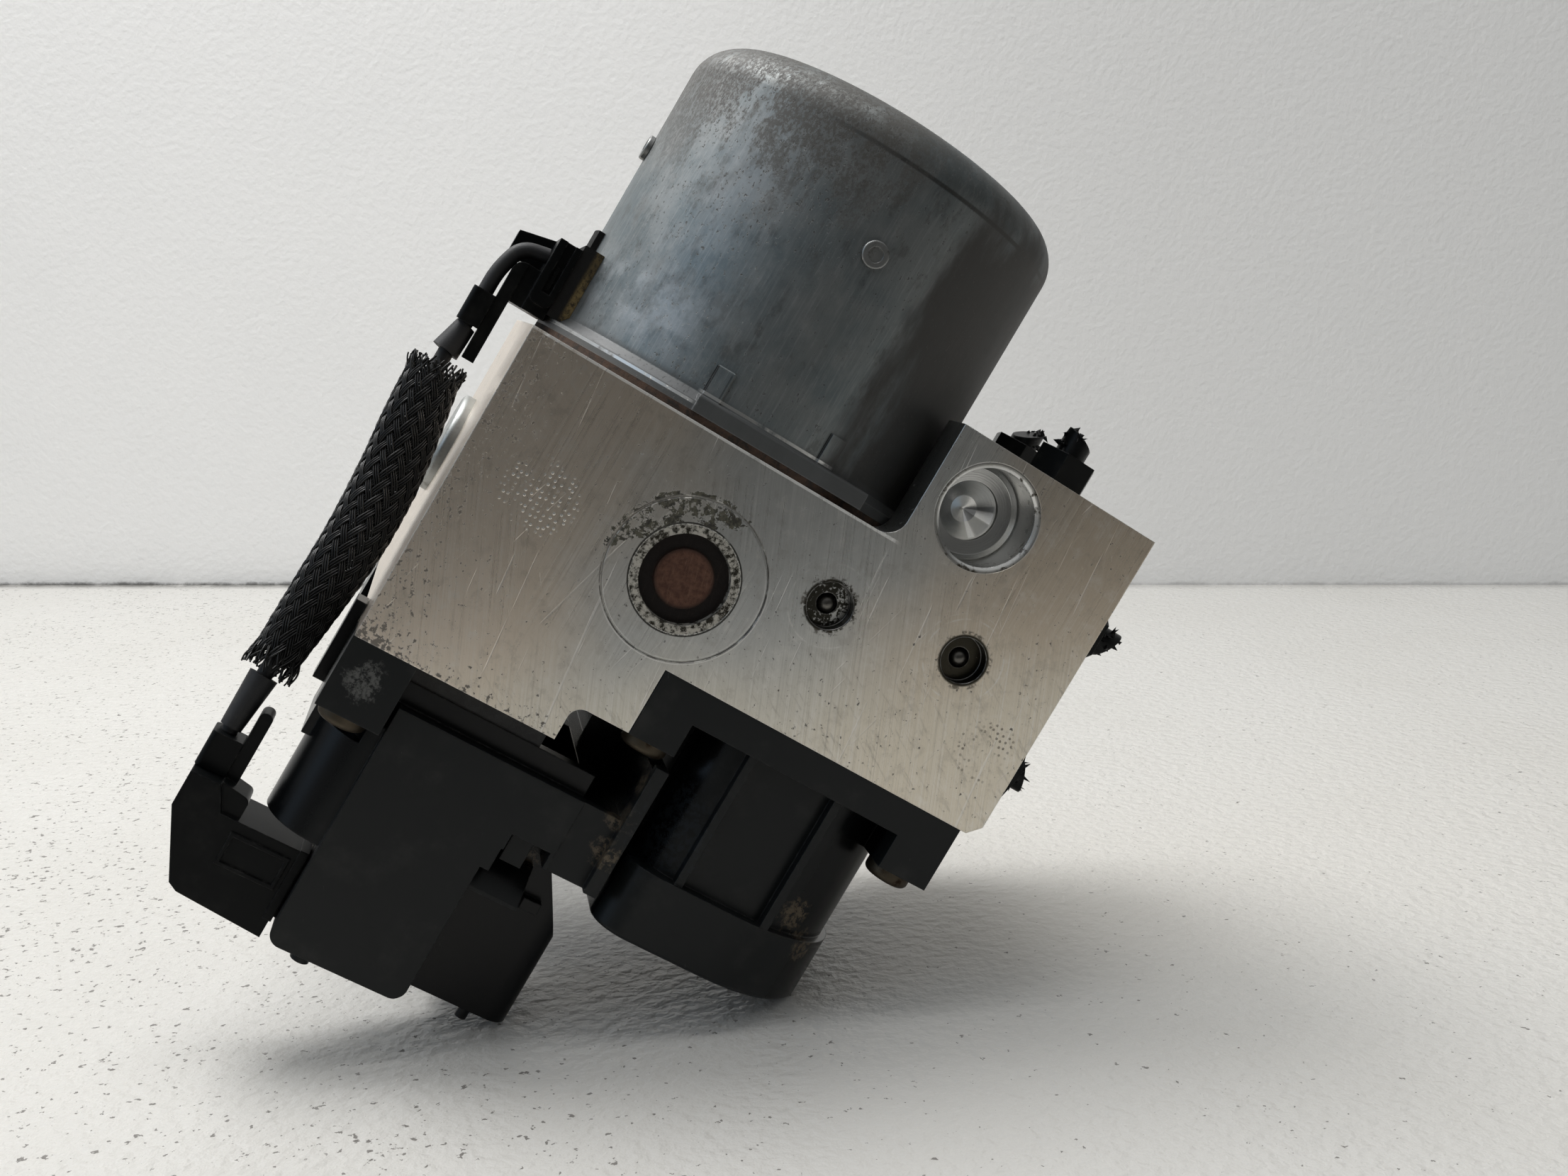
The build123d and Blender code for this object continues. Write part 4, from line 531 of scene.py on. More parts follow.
def can_slits(f, x, z):
    cuts = f.band(x, lip_left - 0.05, lip_left + 0.20, 0.12) + f.band(x, 9.85, 10.10, 0.12)
    cuts = cuts * f.band(z, can_foot + 3.7, can_foot + 8.9, 0.5)
    beside = f.band(x, -10.7, -10.5, 0.10) + f.band(x, 13.3, 13.5, 0.10)
    return cuts + beside * f.band(z, can_foot + 4.1, can_foot + 8.5, 0.5) * 0.5


def can_fold_highlights(f, where, x, z):
    # Painted highlights along the folds at the foot.
    left_fold_highlight = f.band(z, can_foot + 1.15, can_foot + 1.55, 0.15)
    left_fold_highlight = left_fold_highlight * (1.0 - f.between(x, lip_left - 2.0, lip_left))
    front_fold_highlight = f.band(z, can_foot + 3.6, can_foot + 4.0, 0.15) * f.band(x, lip_left, lip_right, 1.0)
    return (left_fold_highlight + front_fold_highlight) * f.between(f.noise(where, 0.25, 4.0), 0.28, 0.46)


# %% Can finish
def can_finish():
    f = Finish("can_zinc")
    where = f.place()
    x, y, z = f.xyz(where)
    drawn = f.streaks(0.35, 9.0)
    mottle = f.noise(f.place(stretch=(1.0, 1.0, 0.5)), 0.24, 6.0, 0.72)
    at_left = 1.0 - f.between(x, -26.0, 2.0)
    # Where the painted sheen of the left side lies, in patches.
    painted_left_sheen = at_left * f.between(f.noise(where, 0.12, 5.0, 0.7), 0.40, 0.62)
    at_top = f.between(z, 54.0, 84.0) * (1.0 - f.between(x, -12.0, 14.0))

    colour, soil, dark = soiled(f, where, x, z, painted_left_sheen, at_top, aged_zinc(f, where, mottle, drawn))
    pits = can_pits(f, where, at_left, at_top)
    colour = f.mix(pits * 0.80, colour, (0.045, 0.042, 0.038))
    # A painted shade line along the ridge on the shoulder.
    ridge_shade_line = f.band(z, 81.7, 82.1, 0.35) * f.between(x, -24.0, -6.0)
    colour = f.mix(ridge_shade_line * 0.75, colour, (0.035, 0.033, 0.030))
    # A painted bluish highlight in a band on the left side.
    painted_blue_band = f.band(z, 36.0, 41.0, 5.0) * (1.0 - f.between(x, -24.0, -14.0))
    colour = f.mix(painted_blue_band * painted_left_sheen * 0.30, colour, (0.42, 0.45, 0.47))
    foot = 1.0 - f.between(z, can_foot + 2.9, can_foot + 4.9)
    colour = f.mix(foot * 0.92, colour, (0.048, 0.050, 0.050))
    colour = f.mix(can_slits(f, x, z) * 0.9, colour, (0.012, 0.011, 0.010))
    # The painted fold highlights are bright, metallic and smoother.
    fold_highlights = can_fold_highlights(f, where, x, z)
    colour = f.mix(fold_highlights * 0.75, colour, (0.72, 0.72, 0.70))
    colour = f.mix(f.worn(0.4) * 0.2, colour, (0.45, 0.45, 0.44))

    f.set("Base Color", colour)
    f.set("Metallic", (0.92 - dark * 0.75 - pits * 0.5 - soil * 0.85 - foot * 0.90 + fold_highlights * 0.9).most(0.0))
    f.set("Roughness", f.spread(mottle, 0.38, 0.58) + dark * 0.12 + soil * 0.15 - fold_highlights * 0.15)
    height = drawn * 0.4 + mottle * 0.8 - pits * 2.2
    f.set("Normal", f.bump(height, 0.06, f.edge(0.3), 0.6))
    return f.material


can_zinc = can_finish()
print("can finish has", len(can_zinc.node_tree.nodes), "nodes")

# %% [markdown]
# ## Black plastics
# The control unit is a moulding with a fine spark eroded grain and a satin sheen. Dust lies
# in faint clouds with a few hairs of lint, the corners that were handled are scuffed grey,
# and brown soil has dried in the steps. Faces that lie further back are clean and glossy,
# and they are painted darker too, a painted shade. A patch of painted bluish sheen lies on
# the rounded corner of the large connector. Each could be a finish of its own. But the
# housing, the connectors and the torn plugs are one kind of plastic that differs in tone,
# sheen and dirt, so one function makes all three, and a list says where the marks are.

# %% Plastic finish
def plastic_finish(name, tone, gloss, sheen, dust_amount, marks_at=(), set_back_from=None):
    """marks_at lists centre, reach, colour and amount of each scuff, stain and patch of painted
    sheen. Faces that lie further back than the given depth are glossy, because nothing rubs or
    settles on them, and they are painted darker, a painted shade."""
    f = Finish(name, Specular_IOR_Level=sheen)
    where = f.place()
    clean_and_shaded = 0.0
    if set_back_from is not None:
        clean_and_shaded = f.between(f.xyz(where)[1], set_back_from - 0.6, set_back_from + 0.6)
    grain = f.noise(where, 6.0, 3.0, 0.6)
    rub = f.noise(where, 0.8, 6.0, 0.75)
    cloud = f.noise(where, 0.09, 5.0, 0.65)
    dust = f.between(cloud, 0.50, 0.80) * dust_amount * (1.0 - clean_and_shaded * 0.8)
    colour = f.mix(dust, (tone, tone * 1.20, tone * 1.26), (0.070, 0.068, 0.062))
    # Set back faces painted darker: a painted shade.
    colour = f.mix(clean_and_shaded * 0.75, colour, (0.0012, 0.0013, 0.0015))
    lint = f.between(f.streaks(0.5, 5.0, 28.0, 3.0), 0.71, 0.74) * (1.0 - clean_and_shaded * 0.7)
    colour = f.mix(lint * 0.15, colour, (0.20, 0.20, 0.19))
    worn = f.worn(0.4) * f.between(rub, 0.46, 0.66)
    colour = f.mix(worn * 0.45, colour, (0.12, 0.118, 0.112))
    for centre, reach, tint, amount in marks_at:
        sx, sy, sz = f.xyz(f.place(move=centre))
        near = 1.0 - f.between((sx * sx + sy * sy + sz * sz) ** 0.5, reach * 0.3, reach)
        colour = f.mix(f.between(rub + near * 0.20, 0.62, 0.76) * near * amount, colour, tint)
    f.set("Base Color", colour)
    f.set("Roughness", f.spread(grain, gloss - 0.05, gloss + 0.07) + dust * 0.3 - clean_and_shaded * 0.10)
    f.set("Normal", f.bump(grain, 0.02, f.edge(0.35), 0.5))
    return f.material


scuff_grey, soil_brown, painted_blue_sheen = (0.30, 0.30, 0.285), (0.13, 0.10, 0.065), (0.012, 0.016, 0.020)
set_back_depth = front_face + 5.0
housing_marks = [
    ((-39.0, -82.0, -42.0), 6.0, scuff_grey, 0.30),
    ((12.9, -78.0, -36.5), 5.0, soil_brown, 0.9),
    ((12.9, -79.0, -43.0), 5.5, soil_brown, 0.9),
    ((13.0, -81.0, -50.0), 5.0, soil_brown, 0.8),
    ((51.9, -76.5, -45.5), 6.0, soil_brown, 0.7),
    ((58.0, -76.0, -50.0), 7.0, soil_brown, 0.6),
    ((3.3, -71.2, -59.9), 4.0, soil_brown, 0.5),
    # A painted bluish sheen on the rounded left corner of the large connector.
    ((20.9, -74.2, -42.0), 18.0, painted_blue_sheen, 0.8),
]
housing_plastic = plastic_finish("housing_plastic", 0.0060, 0.34, 0.22, 0.20, housing_marks, set_back_depth)
black_plastic = plastic_finish("black_plastic", 0.0026, 0.36, 0.12, 0.16)
port_plug_plastic = plastic_finish("port_plug_plastic", 0.0035, 0.34, 0.18, 0.16)
print("plastics are ready")

# %% [markdown]
# ## Small metal parts
# Screws, rivets, caps, springs and shafts are turned, pressed or drawn steel, and a few are
# brass, copper or aluminium. A finish for each would repeat the same nodes, so they share
# one recipe: a base colour, fine noise for the roughness, and stains of a second colour.

# %% Metal finishes
def metal_finish(name, tone, rough, stain=(0.12, 0.10, 0.08), stain_amount=0.3, grain=1.2):
    f = Finish(name, Metallic=1.0)
    where = f.place()
    fine = f.noise(where, grain, 4.0, 0.6)
    spots = f.between(f.noise(where, 0.35, 5.0, 0.7), 0.50, 0.72) * stain_amount
    f.set("Base Color", f.mix(spots, tone, stain))
    f.set("Roughness", f.spread(fine, rough - 0.06, rough + 0.10) + spots * 0.3)
    f.set("Normal", f.bump(fine, 0.02, f.edge(0.15), 0.4))
    return f.material


bright_steel = metal_finish("bright_steel", (0.12, 0.115, 0.105), 0.30, (0.03, 0.026, 0.02), 0.8)
spring_steel = metal_finish("spring_steel", (0.40, 0.40, 0.41), 0.30)
cap_steel = metal_finish("cap_steel", (0.36, 0.37, 0.36), 0.42, (0.10, 0.095, 0.08), 0.5)
rivet_steel = metal_finish("rivet_steel", (0.27, 0.275, 0.27), 0.38, (0.06, 0.055, 0.05), 0.8)
inner_aluminium = metal_finish("inner_aluminium", (0.64, 0.64, 0.63), 0.32)
lamination_steel = metal_finish("lamination_steel", (0.28, 0.28, 0.29), 0.45)
screw_steel = metal_finish("screw_steel", (0.20, 0.165, 0.12), 0.45, (0.06, 0.045, 0.03), 0.9)
screw_rusty = metal_finish("screw_rusty", (0.075, 0.062, 0.045), 0.50, (0.040, 0.024, 0.014), 0.9)
contact_brass = metal_finish("contact_brass", (0.62, 0.47, 0.22), 0.30)
winding_copper = metal_finish("winding_copper", (0.55, 0.22, 0.09), 0.34, grain=3.0)
print("metals are ready")

# %% [markdown]
# ## Pump plugs and damper cup
# The plug that seals the pump has a dished face: a rusty disc, a dark ring of old grease and
# a pale flecked rim. The damper's steel cup is freshly turned inside, and its floor carries
# wedges of painted highlight and painted shade, where turned steel would show reflections.
# Both are round, so they are painted by the distance from their own axis. The wedges could
# be left to the reflection, but that needs a lamp in just the right place, so they are
# painted by the angle round the axis instead.

# %% Plug and cup finishes
def pump_plug_finish():
    f = Finish("plug_steel", Specular_IOR_Level=0.2)
    where = f.place()
    x, y, z = f.xyz(where)
    out = f.radius(x, z)
    speckle = f.noise(where, 0.9, 5.0, 0.7)
    worn = f.between(speckle, 0.42, 0.60)
    rim = f.mix(worn, (0.52, 0.50, 0.45), (0.035, 0.032, 0.025))
    hairs = f.between(f.streaks(0.25, 4.0, 14.0, 4.0), 0.56, 0.72)
    grease = f.mix(hairs * 0.6, (0.007, 0.0045, 0.0038), (0.030, 0.018, 0.013))
    rust = f.mix(f.between(speckle, 0.35, 0.65), (0.062, 0.027, 0.017), (0.115, 0.056, 0.037))
    rust = f.mix(hairs * 0.5, rust, (0.17, 0.10, 0.07))
    on_disc = 1.0 - f.between(out + speckle * 0.8, 4.9, 6.2)
    on_rim = f.between(out, 8.0, 8.3)
    f.set("Base Color", f.mix(on_rim, f.mix(on_disc, grease, rust), rim))
    f.set("Metallic", on_rim * 0.9)
    f.set("Roughness", f.spread(speckle, 0.35, 0.75))
    f.set("Normal", f.bump(speckle, 0.15, f.edge(0.2), 0.7))
    return f.material


def turned_cup_finish():
    f = Finish("cup_steel", Metallic=1.0)
    where = f.place(move=(cup_middle.x, 0, cup_middle.z))
    x, y, z = f.xyz(where)
    out = f.radius(x, z)
    rings = f.noise(f.node("ShaderNodeCombineXYZ", None, {0: out * 5.0, 1: y * 5.0}), 1.0, 3.0)
    dirt_here = f.between(f.noise(where, 0.45, 5.0, 0.7), 0.52, 0.64)
    shallow = 1.0 - f.between(y, front_face + 0.4, front_face + 6.0)
    dirt_here = dirt_here * f.between(out, 8.2, 9.4) * shallow
    turned = z.math("ARCTAN2", z, x)
    on_floor = 1.0 - f.between(out, 5.2, 5.6)
    # Wedges of painted highlight and painted shade on the cup's floor.
    painted_wedge_highlight = f.band(turned, 0.0, 0.34, 0.08) + f.band(turned, -0.92, -0.76, 0.08) * 0.8
    shade = f.band(turned, 0.44, 0.60, 0.05) + f.band(turned, -0.60, -0.14, 0.12) * 0.6
    steel = f.mix(on_floor * shade * 0.6, (0.60, 0.60, 0.585), (0.17, 0.18, 0.20))
    steel = f.mix(on_floor * painted_wedge_highlight * 0.9, steel, (0.97, 0.98, 1.0))
    on_lip = f.between(out, 9.4, 9.8) * (1.0 - f.between(y, front_face + 0.4, front_face + 1.4))
    steel = f.mix(on_lip * 0.8, steel, (0.20, 0.195, 0.18))
    f.set("Base Color", f.mix(dirt_here, steel, (0.06, 0.05, 0.035)))
    f.set("Roughness", f.spread(rings, 0.14, 0.28) + dirt_here * 0.4 + on_lip * 0.2)
    f.set("Normal", f.bump(rings, 0.012, f.edge(0.15), 0.5))
    return f.material


plug_steel = pump_plug_finish()
cup_steel = turned_cup_finish()
print("plug and cup are ready")

# %% [markdown]
# ## Soft and small parts
# A fibre gasket has soaked up rust. A foam pad behind the upper connector is near black
# and has a yellowed strip beside the can. The cable and its boots are matt rubber. Inside,
# the magnets are pressed ferrite, and the board is a green laminate. None of them reflects
# much, so a colour, a darker stain and a bump are enough. Only the pad gets its own recipe.

# %% Soft finishes
def soft_finish(name, light, dark, rough, scale=0.5, depth=0.08, share=(0.40, 0.65)):
    f = Finish(name, Specular_IOR_Level=0.35)
    where = f.place()
    fibre = f.noise(where, scale, 6.0, 0.72, 0.3)
    fine = f.noise(where, scale * 8, 3.0, 0.6)
    f.set("Base Color", f.mix(f.between(fibre, *share), light, dark))
    f.set("Roughness", f.spread(fine, rough - 0.05, rough + 0.08))
    f.set("Normal", f.bump(fine + fibre, depth))
    return f.material


pad_right = -38.0


def pad_finish():
    """Foam that is near black, apart from a yellowed strip beside the can."""
    f = Finish("pad_foam", Specular_IOR_Level=0.3, Roughness=0.85)
    where = f.place()
    x, y, z = f.xyz(where)
    torn = f.noise(where, 0.7, 6.0, 0.75)
    strip = f.between(x + torn * 1.6, pad_right - 1.1, pad_right - 0.3)
    strip = strip * (1.0 - f.between(z, 33.0, 40.0) * 0.55)
    yellow = f.mix(f.between(torn, 0.42, 0.62), (0.20, 0.145, 0.06), (0.035, 0.027, 0.016))
    f.set("Base Color", f.mix(strip, (0.008, 0.0075, 0.007), yellow))
    f.set("Normal", f.bump(torn, 0.25))
    return f.material


pad_foam = pad_finish()
gasket_brown = soft_finish("gasket_brown", (0.052, 0.029, 0.018), (0.012, 0.009, 0.007), 0.8)
cable_rubber = soft_finish("cable_rubber", (0.014, 0.014, 0.015), (0.03, 0.029, 0.027), 0.55,
                           scale=0.4, depth=0.03, share=(0.5, 0.8))
seal_rubber = soft_finish("seal_rubber", (0.02, 0.02, 0.02), (0.03, 0.03, 0.03), 0.6)
magnet_black = soft_finish("magnet_black", (0.05, 0.05, 0.055), (0.08, 0.08, 0.085), 0.6)
carbon = soft_finish("carbon", (0.03, 0.03, 0.033), (0.05, 0.05, 0.055), 0.5)
board_green = soft_finish("board_green", (0.02, 0.12, 0.06), (0.03, 0.16, 0.08), 0.4)
braid_black = soft_finish("braid_black", (0.006, 0.006, 0.006), (0.016, 0.016, 0.015), 0.34,
                          scale=0.6, depth=0.01, share=(0.45, 0.7))
print("soft finishes are ready")

# %% [markdown]
# ## Give each piece its finish
# The record says which slot each node takes. The slot's name is the name of a finish above,
# so one loop paints the whole frame.

# %% Paint the frame
painted = 0
for entry in frame["record"]["subparts"]:
    piece = nodes[entry["node"]]
    finish = finishes[entry["material_slot"]]
    piece.data.materials.clear()
    piece.data.materials.append(finish)
    painted += 1
print("painted", painted, "pieces")

# %% [markdown]
# ## The lead's route
# The lead leaves the upper connector, hangs down the left side and enters the lower plug.
# Its sleeve bulges in the middle and narrows to the cut ends. The route could be read from
# the cable's mesh, but a few listed points give a curve that stays smooth.

# %% The lead's route
lead_route = [
    (-54.4, -48.8, 11.6),
    (-53.4, -50.8, 0.4),
    (-51.9, -53.4, -11.6),
    (-51.5, -56.8, -25.0),
    (-52.6, -61.0, -38.6),
    (-53.7, -64.6, -52.4),
]
route_data = bpy.data.curves.new("braid_route", "CURVE")
route_data.dimensions = "3D"
route_data.resolution_u = 12
route_spline = route_data.splines.new("NURBS")
route_spline.points.add(len(lead_route) - 1)
for point, place in zip(route_spline.points, lead_route):
    point.co = (*(c * mm for c in place), 1.0)
route_spline.order_u = 3
route_spline.use_endpoint_u = True
braid = bpy.data.objects.new("braid", route_data)
bpy.context.scene.collection.objects.link(braid)
print("route of the braid has", len(lead_route), "points")

# %% [markdown]
# ## The braided sleeve
# The lead is protected by a braid of black plastic filaments. Two families of strands wind
# round the cable in opposite directions. Each strand is three filaments wide and passes
# over two strands and under two, and the cut ends are frayed. A tube with a bump could stand
# for it, but its outline would be smooth. The pattern follows a rule, so Geometry Nodes make
# it: every filament is a straight line that is bent round the route by its own number. A
# strand's height above the route is a cosine of how many strands it has crossed, and the
# other family gets the same cosine with its sign turned.

# %% Tree
class Tree(Graph):
    """A Geometry Nodes tree, with the same arithmetic as a finish."""

    def __init__(self, name):
        super().__init__(bpy.data.node_groups.new(name, "GeometryNodeTree"))
        self.tree.is_modifier = True
        self.tree.interface.new_socket("Geometry", in_out="INPUT", socket_type="NodeSocketGeometry")
        self.source = self.tree.nodes.new("NodeGroupInput")
        self.ids = {}

    def input(self, name, kind, value=None):
        socket = self.tree.interface.new_socket(name, in_out="INPUT", socket_type=kind)
        if value is not None:
            socket.default_value = value
        self.ids[name] = socket.identifier
        return Wire(self, self.source.outputs[name])

    def geometry(self):
        return Wire(self, self.source.outputs["Geometry"])

    def finish(self, geometry):
        self.tree.interface.new_socket("Geometry", in_out="OUTPUT", socket_type="NodeSocketGeometry")
        sink = self.tree.nodes.new("NodeGroupOutput")
        self.tree.links.new(geometry.socket, sink.inputs["Geometry"])
        return self.tree


# %% Braid tree
def braid_tree():
    t = Tree("braid_tree")
    route = t.geometry()
    strands = t.input("Strands", "NodeSocketInt", 20)
    turns = t.input("Turns", "NodeSocketFloat", 1.05)
    radius = t.input("Radius", "NodeSocketFloat", 4.35 * mm)
    swell = t.input("Swell", "NodeSocketFloat", 1.35 * mm)
    lift = t.input("Lift", "NodeSocketFloat", 0.26 * mm)
    gap = t.input("Filament gap", "NodeSocketFloat", 0.46 * mm)
    thick = t.input("Filament radius", "NodeSocketFloat", 0.20 * mm)
    fray = t.input("Fray", "NodeSocketFloat", 1.3 * mm)
    seed = t.input("Seed", "NodeSocketInt", 7)
    finish = t.input("Finish", "NodeSocketMaterial")

    line = t.node("GeometryNodeCurvePrimitiveLine", None, {"Start": (0, 0, 0), "End": (0, 0, 1)})
    line = t.node("GeometryNodeResampleCurve", {"mode": "COUNT"}, {"Curve": line, "Count": 130})
    copies = t.node("GeometryNodeDuplicateElements", {"domain": "SPLINE"},
                    {"Geometry": line, "Amount": strands * 6.0})
    index = copies.other("Duplicate Index")
    family = index.math("MODULO", index, 2.0)
    sign = family * 2.0 - 1.0
    strand = index.math("FLOOR", index / 6.0)
    filament = index.math("MODULO", index.math("FLOOR", index / 2.0), 3.0) - 1.0

    def chance(low, high, offset):
        return t.node("FunctionNodeRandomValue", {"data_type": "FLOAT"},
                      {"Min": low, "Max": high, "ID": index, "Seed": seed + offset}, out=1)

    share = t.node("GeometryNodeSplineParameter")
    begin = chance(0.015, 0.050, 1.0)
    end = chance(0.955, 1.012, 2.0)
    t_along = begin + share * (end - begin)
    inside = t.node("ShaderNodeClamp", None, {0: t_along, 1: 0.001, 2: 0.999})
    sample = t.node("GeometryNodeSampleCurve", {"mode": "FACTOR"},
                    {"Curves": route, "Factor": inside}, out=1)
    tangent, normal = sample.other("Tangent"), sample.other("Normal")
    side = t.node("ShaderNodeVectorMath", {"operation": "CROSS_PRODUCT"}, {0: tangent, 1: normal})

    girth = radius + swell * index.math("SINE", inside ** 0.8 * pi) - inside * (0.5 * mm)
    crossed = t_along * turns * strands * 2.0
    phase = (strand * 2.0 + crossed * sign * -1.0 + 0.5) * (pi / 2)
    weave = index.math("COSINE", phase) * sign
    angle = strand / strands * (2 * pi) + sign * t_along * turns * (-2 * pi) + filament * gap / girth
    start_open = t.node("ShaderNodeMapRange", {"interpolation_type": "SMOOTHSTEP"},
                        {0: t_along, 1: 0.09, 2: 0.02, 3: 0.0, 4: 1.0})
    end_open = t.node("ShaderNodeMapRange", {"interpolation_type": "SMOOTHSTEP"},
                      {0: t_along, 1: 0.92, 2: 1.01, 3: 0.0, 4: 1.0})
    opening = start_open + end_open
    out = girth + lift * weave + opening * fray * chance(-0.35, 1.0, 3.0)
    angle = angle + opening * chance(-0.16, 0.16, 4.0)

    def scaled(vector, factor):
        return t.node("ShaderNodeVectorMath", {"operation": "SCALE"}, {0: vector, "Scale": factor})

    def added(first, second):
        return t.node("ShaderNodeVectorMath", {"operation": "ADD"}, {0: first, 1: second})

    place = added(scaled(normal, out * index.math("COSINE", angle)),
                  scaled(side, out * index.math("SINE", angle)))
    place = added(place, sample)
    past = (t_along - inside) * (66.0 * mm)
    place = added(place, scaled(tangent, past))
    bent = t.node("GeometryNodeSetPosition", None, {"Geometry": copies, "Position": place})
    profile = t.node("GeometryNodeCurvePrimitiveCircle", {"mode": "RADIUS"},
                     {"Resolution": 4, "Radius": thick})
    mesh = t.node("GeometryNodeCurveToMesh", None,
                  {"Curve": bent, "Profile Curve": profile, "Fill Caps": True})
    mesh = t.node("GeometryNodeSetShadeSmooth", None, {"Geometry": mesh})
    mesh = t.node("GeometryNodeRealizeInstances", None, {"Geometry": mesh})
    mesh = t.node("GeometryNodeSetMaterial", None, {"Geometry": mesh, "Material": finish})
    return t.finish(mesh), t.ids


# %% [markdown]
# ## From a tree to a mesh
# A modifier makes the piece only while the file is open, and the export drops what is only
# an instance. So the result is taken as a plain mesh, on a new object at the origin, and the
# object that carried the modifier is deleted. An input is set by its socket's identifier,
# because two inputs may have the same name.

# %% Braid the sleeve
def grow(piece, tree, values):
    """Runs a tree on an object and returns its result as a plain mesh object."""
    modifier = piece.modifiers.new("grow", "NODES")
    modifier.node_group = tree
    for identifier, value in values.items():
        modifier[identifier] = value
    depsgraph = bpy.context.evaluated_depsgraph_get()
    mesh = bpy.data.meshes.new_from_object(piece.evaluated_get(depsgraph), depsgraph=depsgraph)
    name = piece.name
    source = piece.data
    bpy.data.objects.remove(piece)
    made = bpy.data.objects.new(name, mesh)
    bpy.context.scene.collection.objects.link(made)
    print(name, "has", sum(len(p.vertices) - 2 for p in mesh.polygons), "triangles")
    return made


tree, ids = braid_tree()
braid = grow(braid, tree, {ids["Finish"]: braid_black})
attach(braid, "unit")
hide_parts("braided_sleeve")

# %% [markdown]
# ## Torn stems
# The transport plugs in the pipe ports were pulled, and their stems tore off. The solids
# end in a slanted cut. The cut could be roughened by pushing its points about, but a tear
# has thin tags that stand free. So short tags of plastic are scattered over those ends, each
# with its own lean and length, which makes the outline as ragged as a real tear.

# %% Torn stems tree
def torn_tree():
    t = Tree("torn_tree")
    plugs = t.geometry()
    over_top = t.input("Over the top", "NodeSocketFloat", 59.3 * mm)
    past_side = t.input("Past the side", "NodeSocketFloat", 82.6 * mm)
    density = t.input("Tags per square metre", "NodeSocketFloat", 4.5e5)
    longest = t.input("Longest tag", "NodeSocketFloat", 2.4 * mm)
    seed = t.input("Seed", "NodeSocketInt", 11)
    finish = t.input("Finish", "NodeSocketMaterial")
    x, y, z = t.xyz(t.node("GeometryNodeInputPosition"))
    ends = z.math("GREATER_THAN", z, over_top) + x.math("GREATER_THAN", x, past_side)
    points = t.node("GeometryNodeDistributePointsOnFaces", None,
                    {"Mesh": plugs, "Selection": ends, "Density": density, "Seed": seed})
    lean_by = t.node("FunctionNodeRandomValue", {"data_type": "FLOAT_VECTOR"},
                     {"Min": (-0.7, -0.7, -3.0), "Max": (0.7, 0.7, 3.0), "Seed": seed})
    turned = t.node("FunctionNodeRotateRotation", {"rotation_space": "LOCAL"},
                    {"Rotation": points.other("Rotation"), "Rotate By": lean_by})
    tag = t.node("GeometryNodeMeshCone", None,
                 {"Vertices": 4, "Radius Top": 0.02 * mm, "Radius Bottom": 0.42 * mm, "Depth": longest})
    sizes = t.node("FunctionNodeRandomValue", {"data_type": "FLOAT_VECTOR"},
                   {"Min": (0.3, 0.8, 0.15), "Max": (1.0, 2.0, 0.75), "Seed": seed + 1.0})
    tags = t.node("GeometryNodeInstanceOnPoints", None,
                  {"Points": points, "Instance": tag, "Rotation": turned, "Scale": sizes})
    mesh = t.node("GeometryNodeRealizeInstances", None, {"Geometry": tags})
    mesh = t.node("GeometryNodeSetMaterial", None, {"Geometry": mesh, "Material": finish})
    return t.finish(mesh), t.ids


# %% Tear the stems
torn, torn_ids = torn_tree()
for plugs_name in ("inlet_port_plugs", "outlet_port_plugs"):
    tags = bpy.data.objects.new("torn_" + plugs_name, nodes[plugs_name].data.copy())
    bpy.context.scene.collection.objects.link(tags)
    tags.matrix_world = nodes[plugs_name].matrix_world.copy()
    tags = grow(tags, torn, {torn_ids["Finish"]: port_plug_plastic})
    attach(tags, "unit")

# %% [markdown]
# ## Floor and wall
# The unit lies on a white painted table against a white wall. One curved sheet would hide
# the line between them, and the line shows in the picture, so both are planes in the leaning
# room. A painted shadow line, with some dirt, runs along their join, the floor carries a
# painted shadow under the unit, and the wall is painted darker towards the right, a painted
# shade. The floor is seen from above only: from below it lets the view through, so that a
# view along the frame's own level isn't blocked by a table that leans across it.

# %% Stage
wall_distance = 0.747
room_reach = 3.0


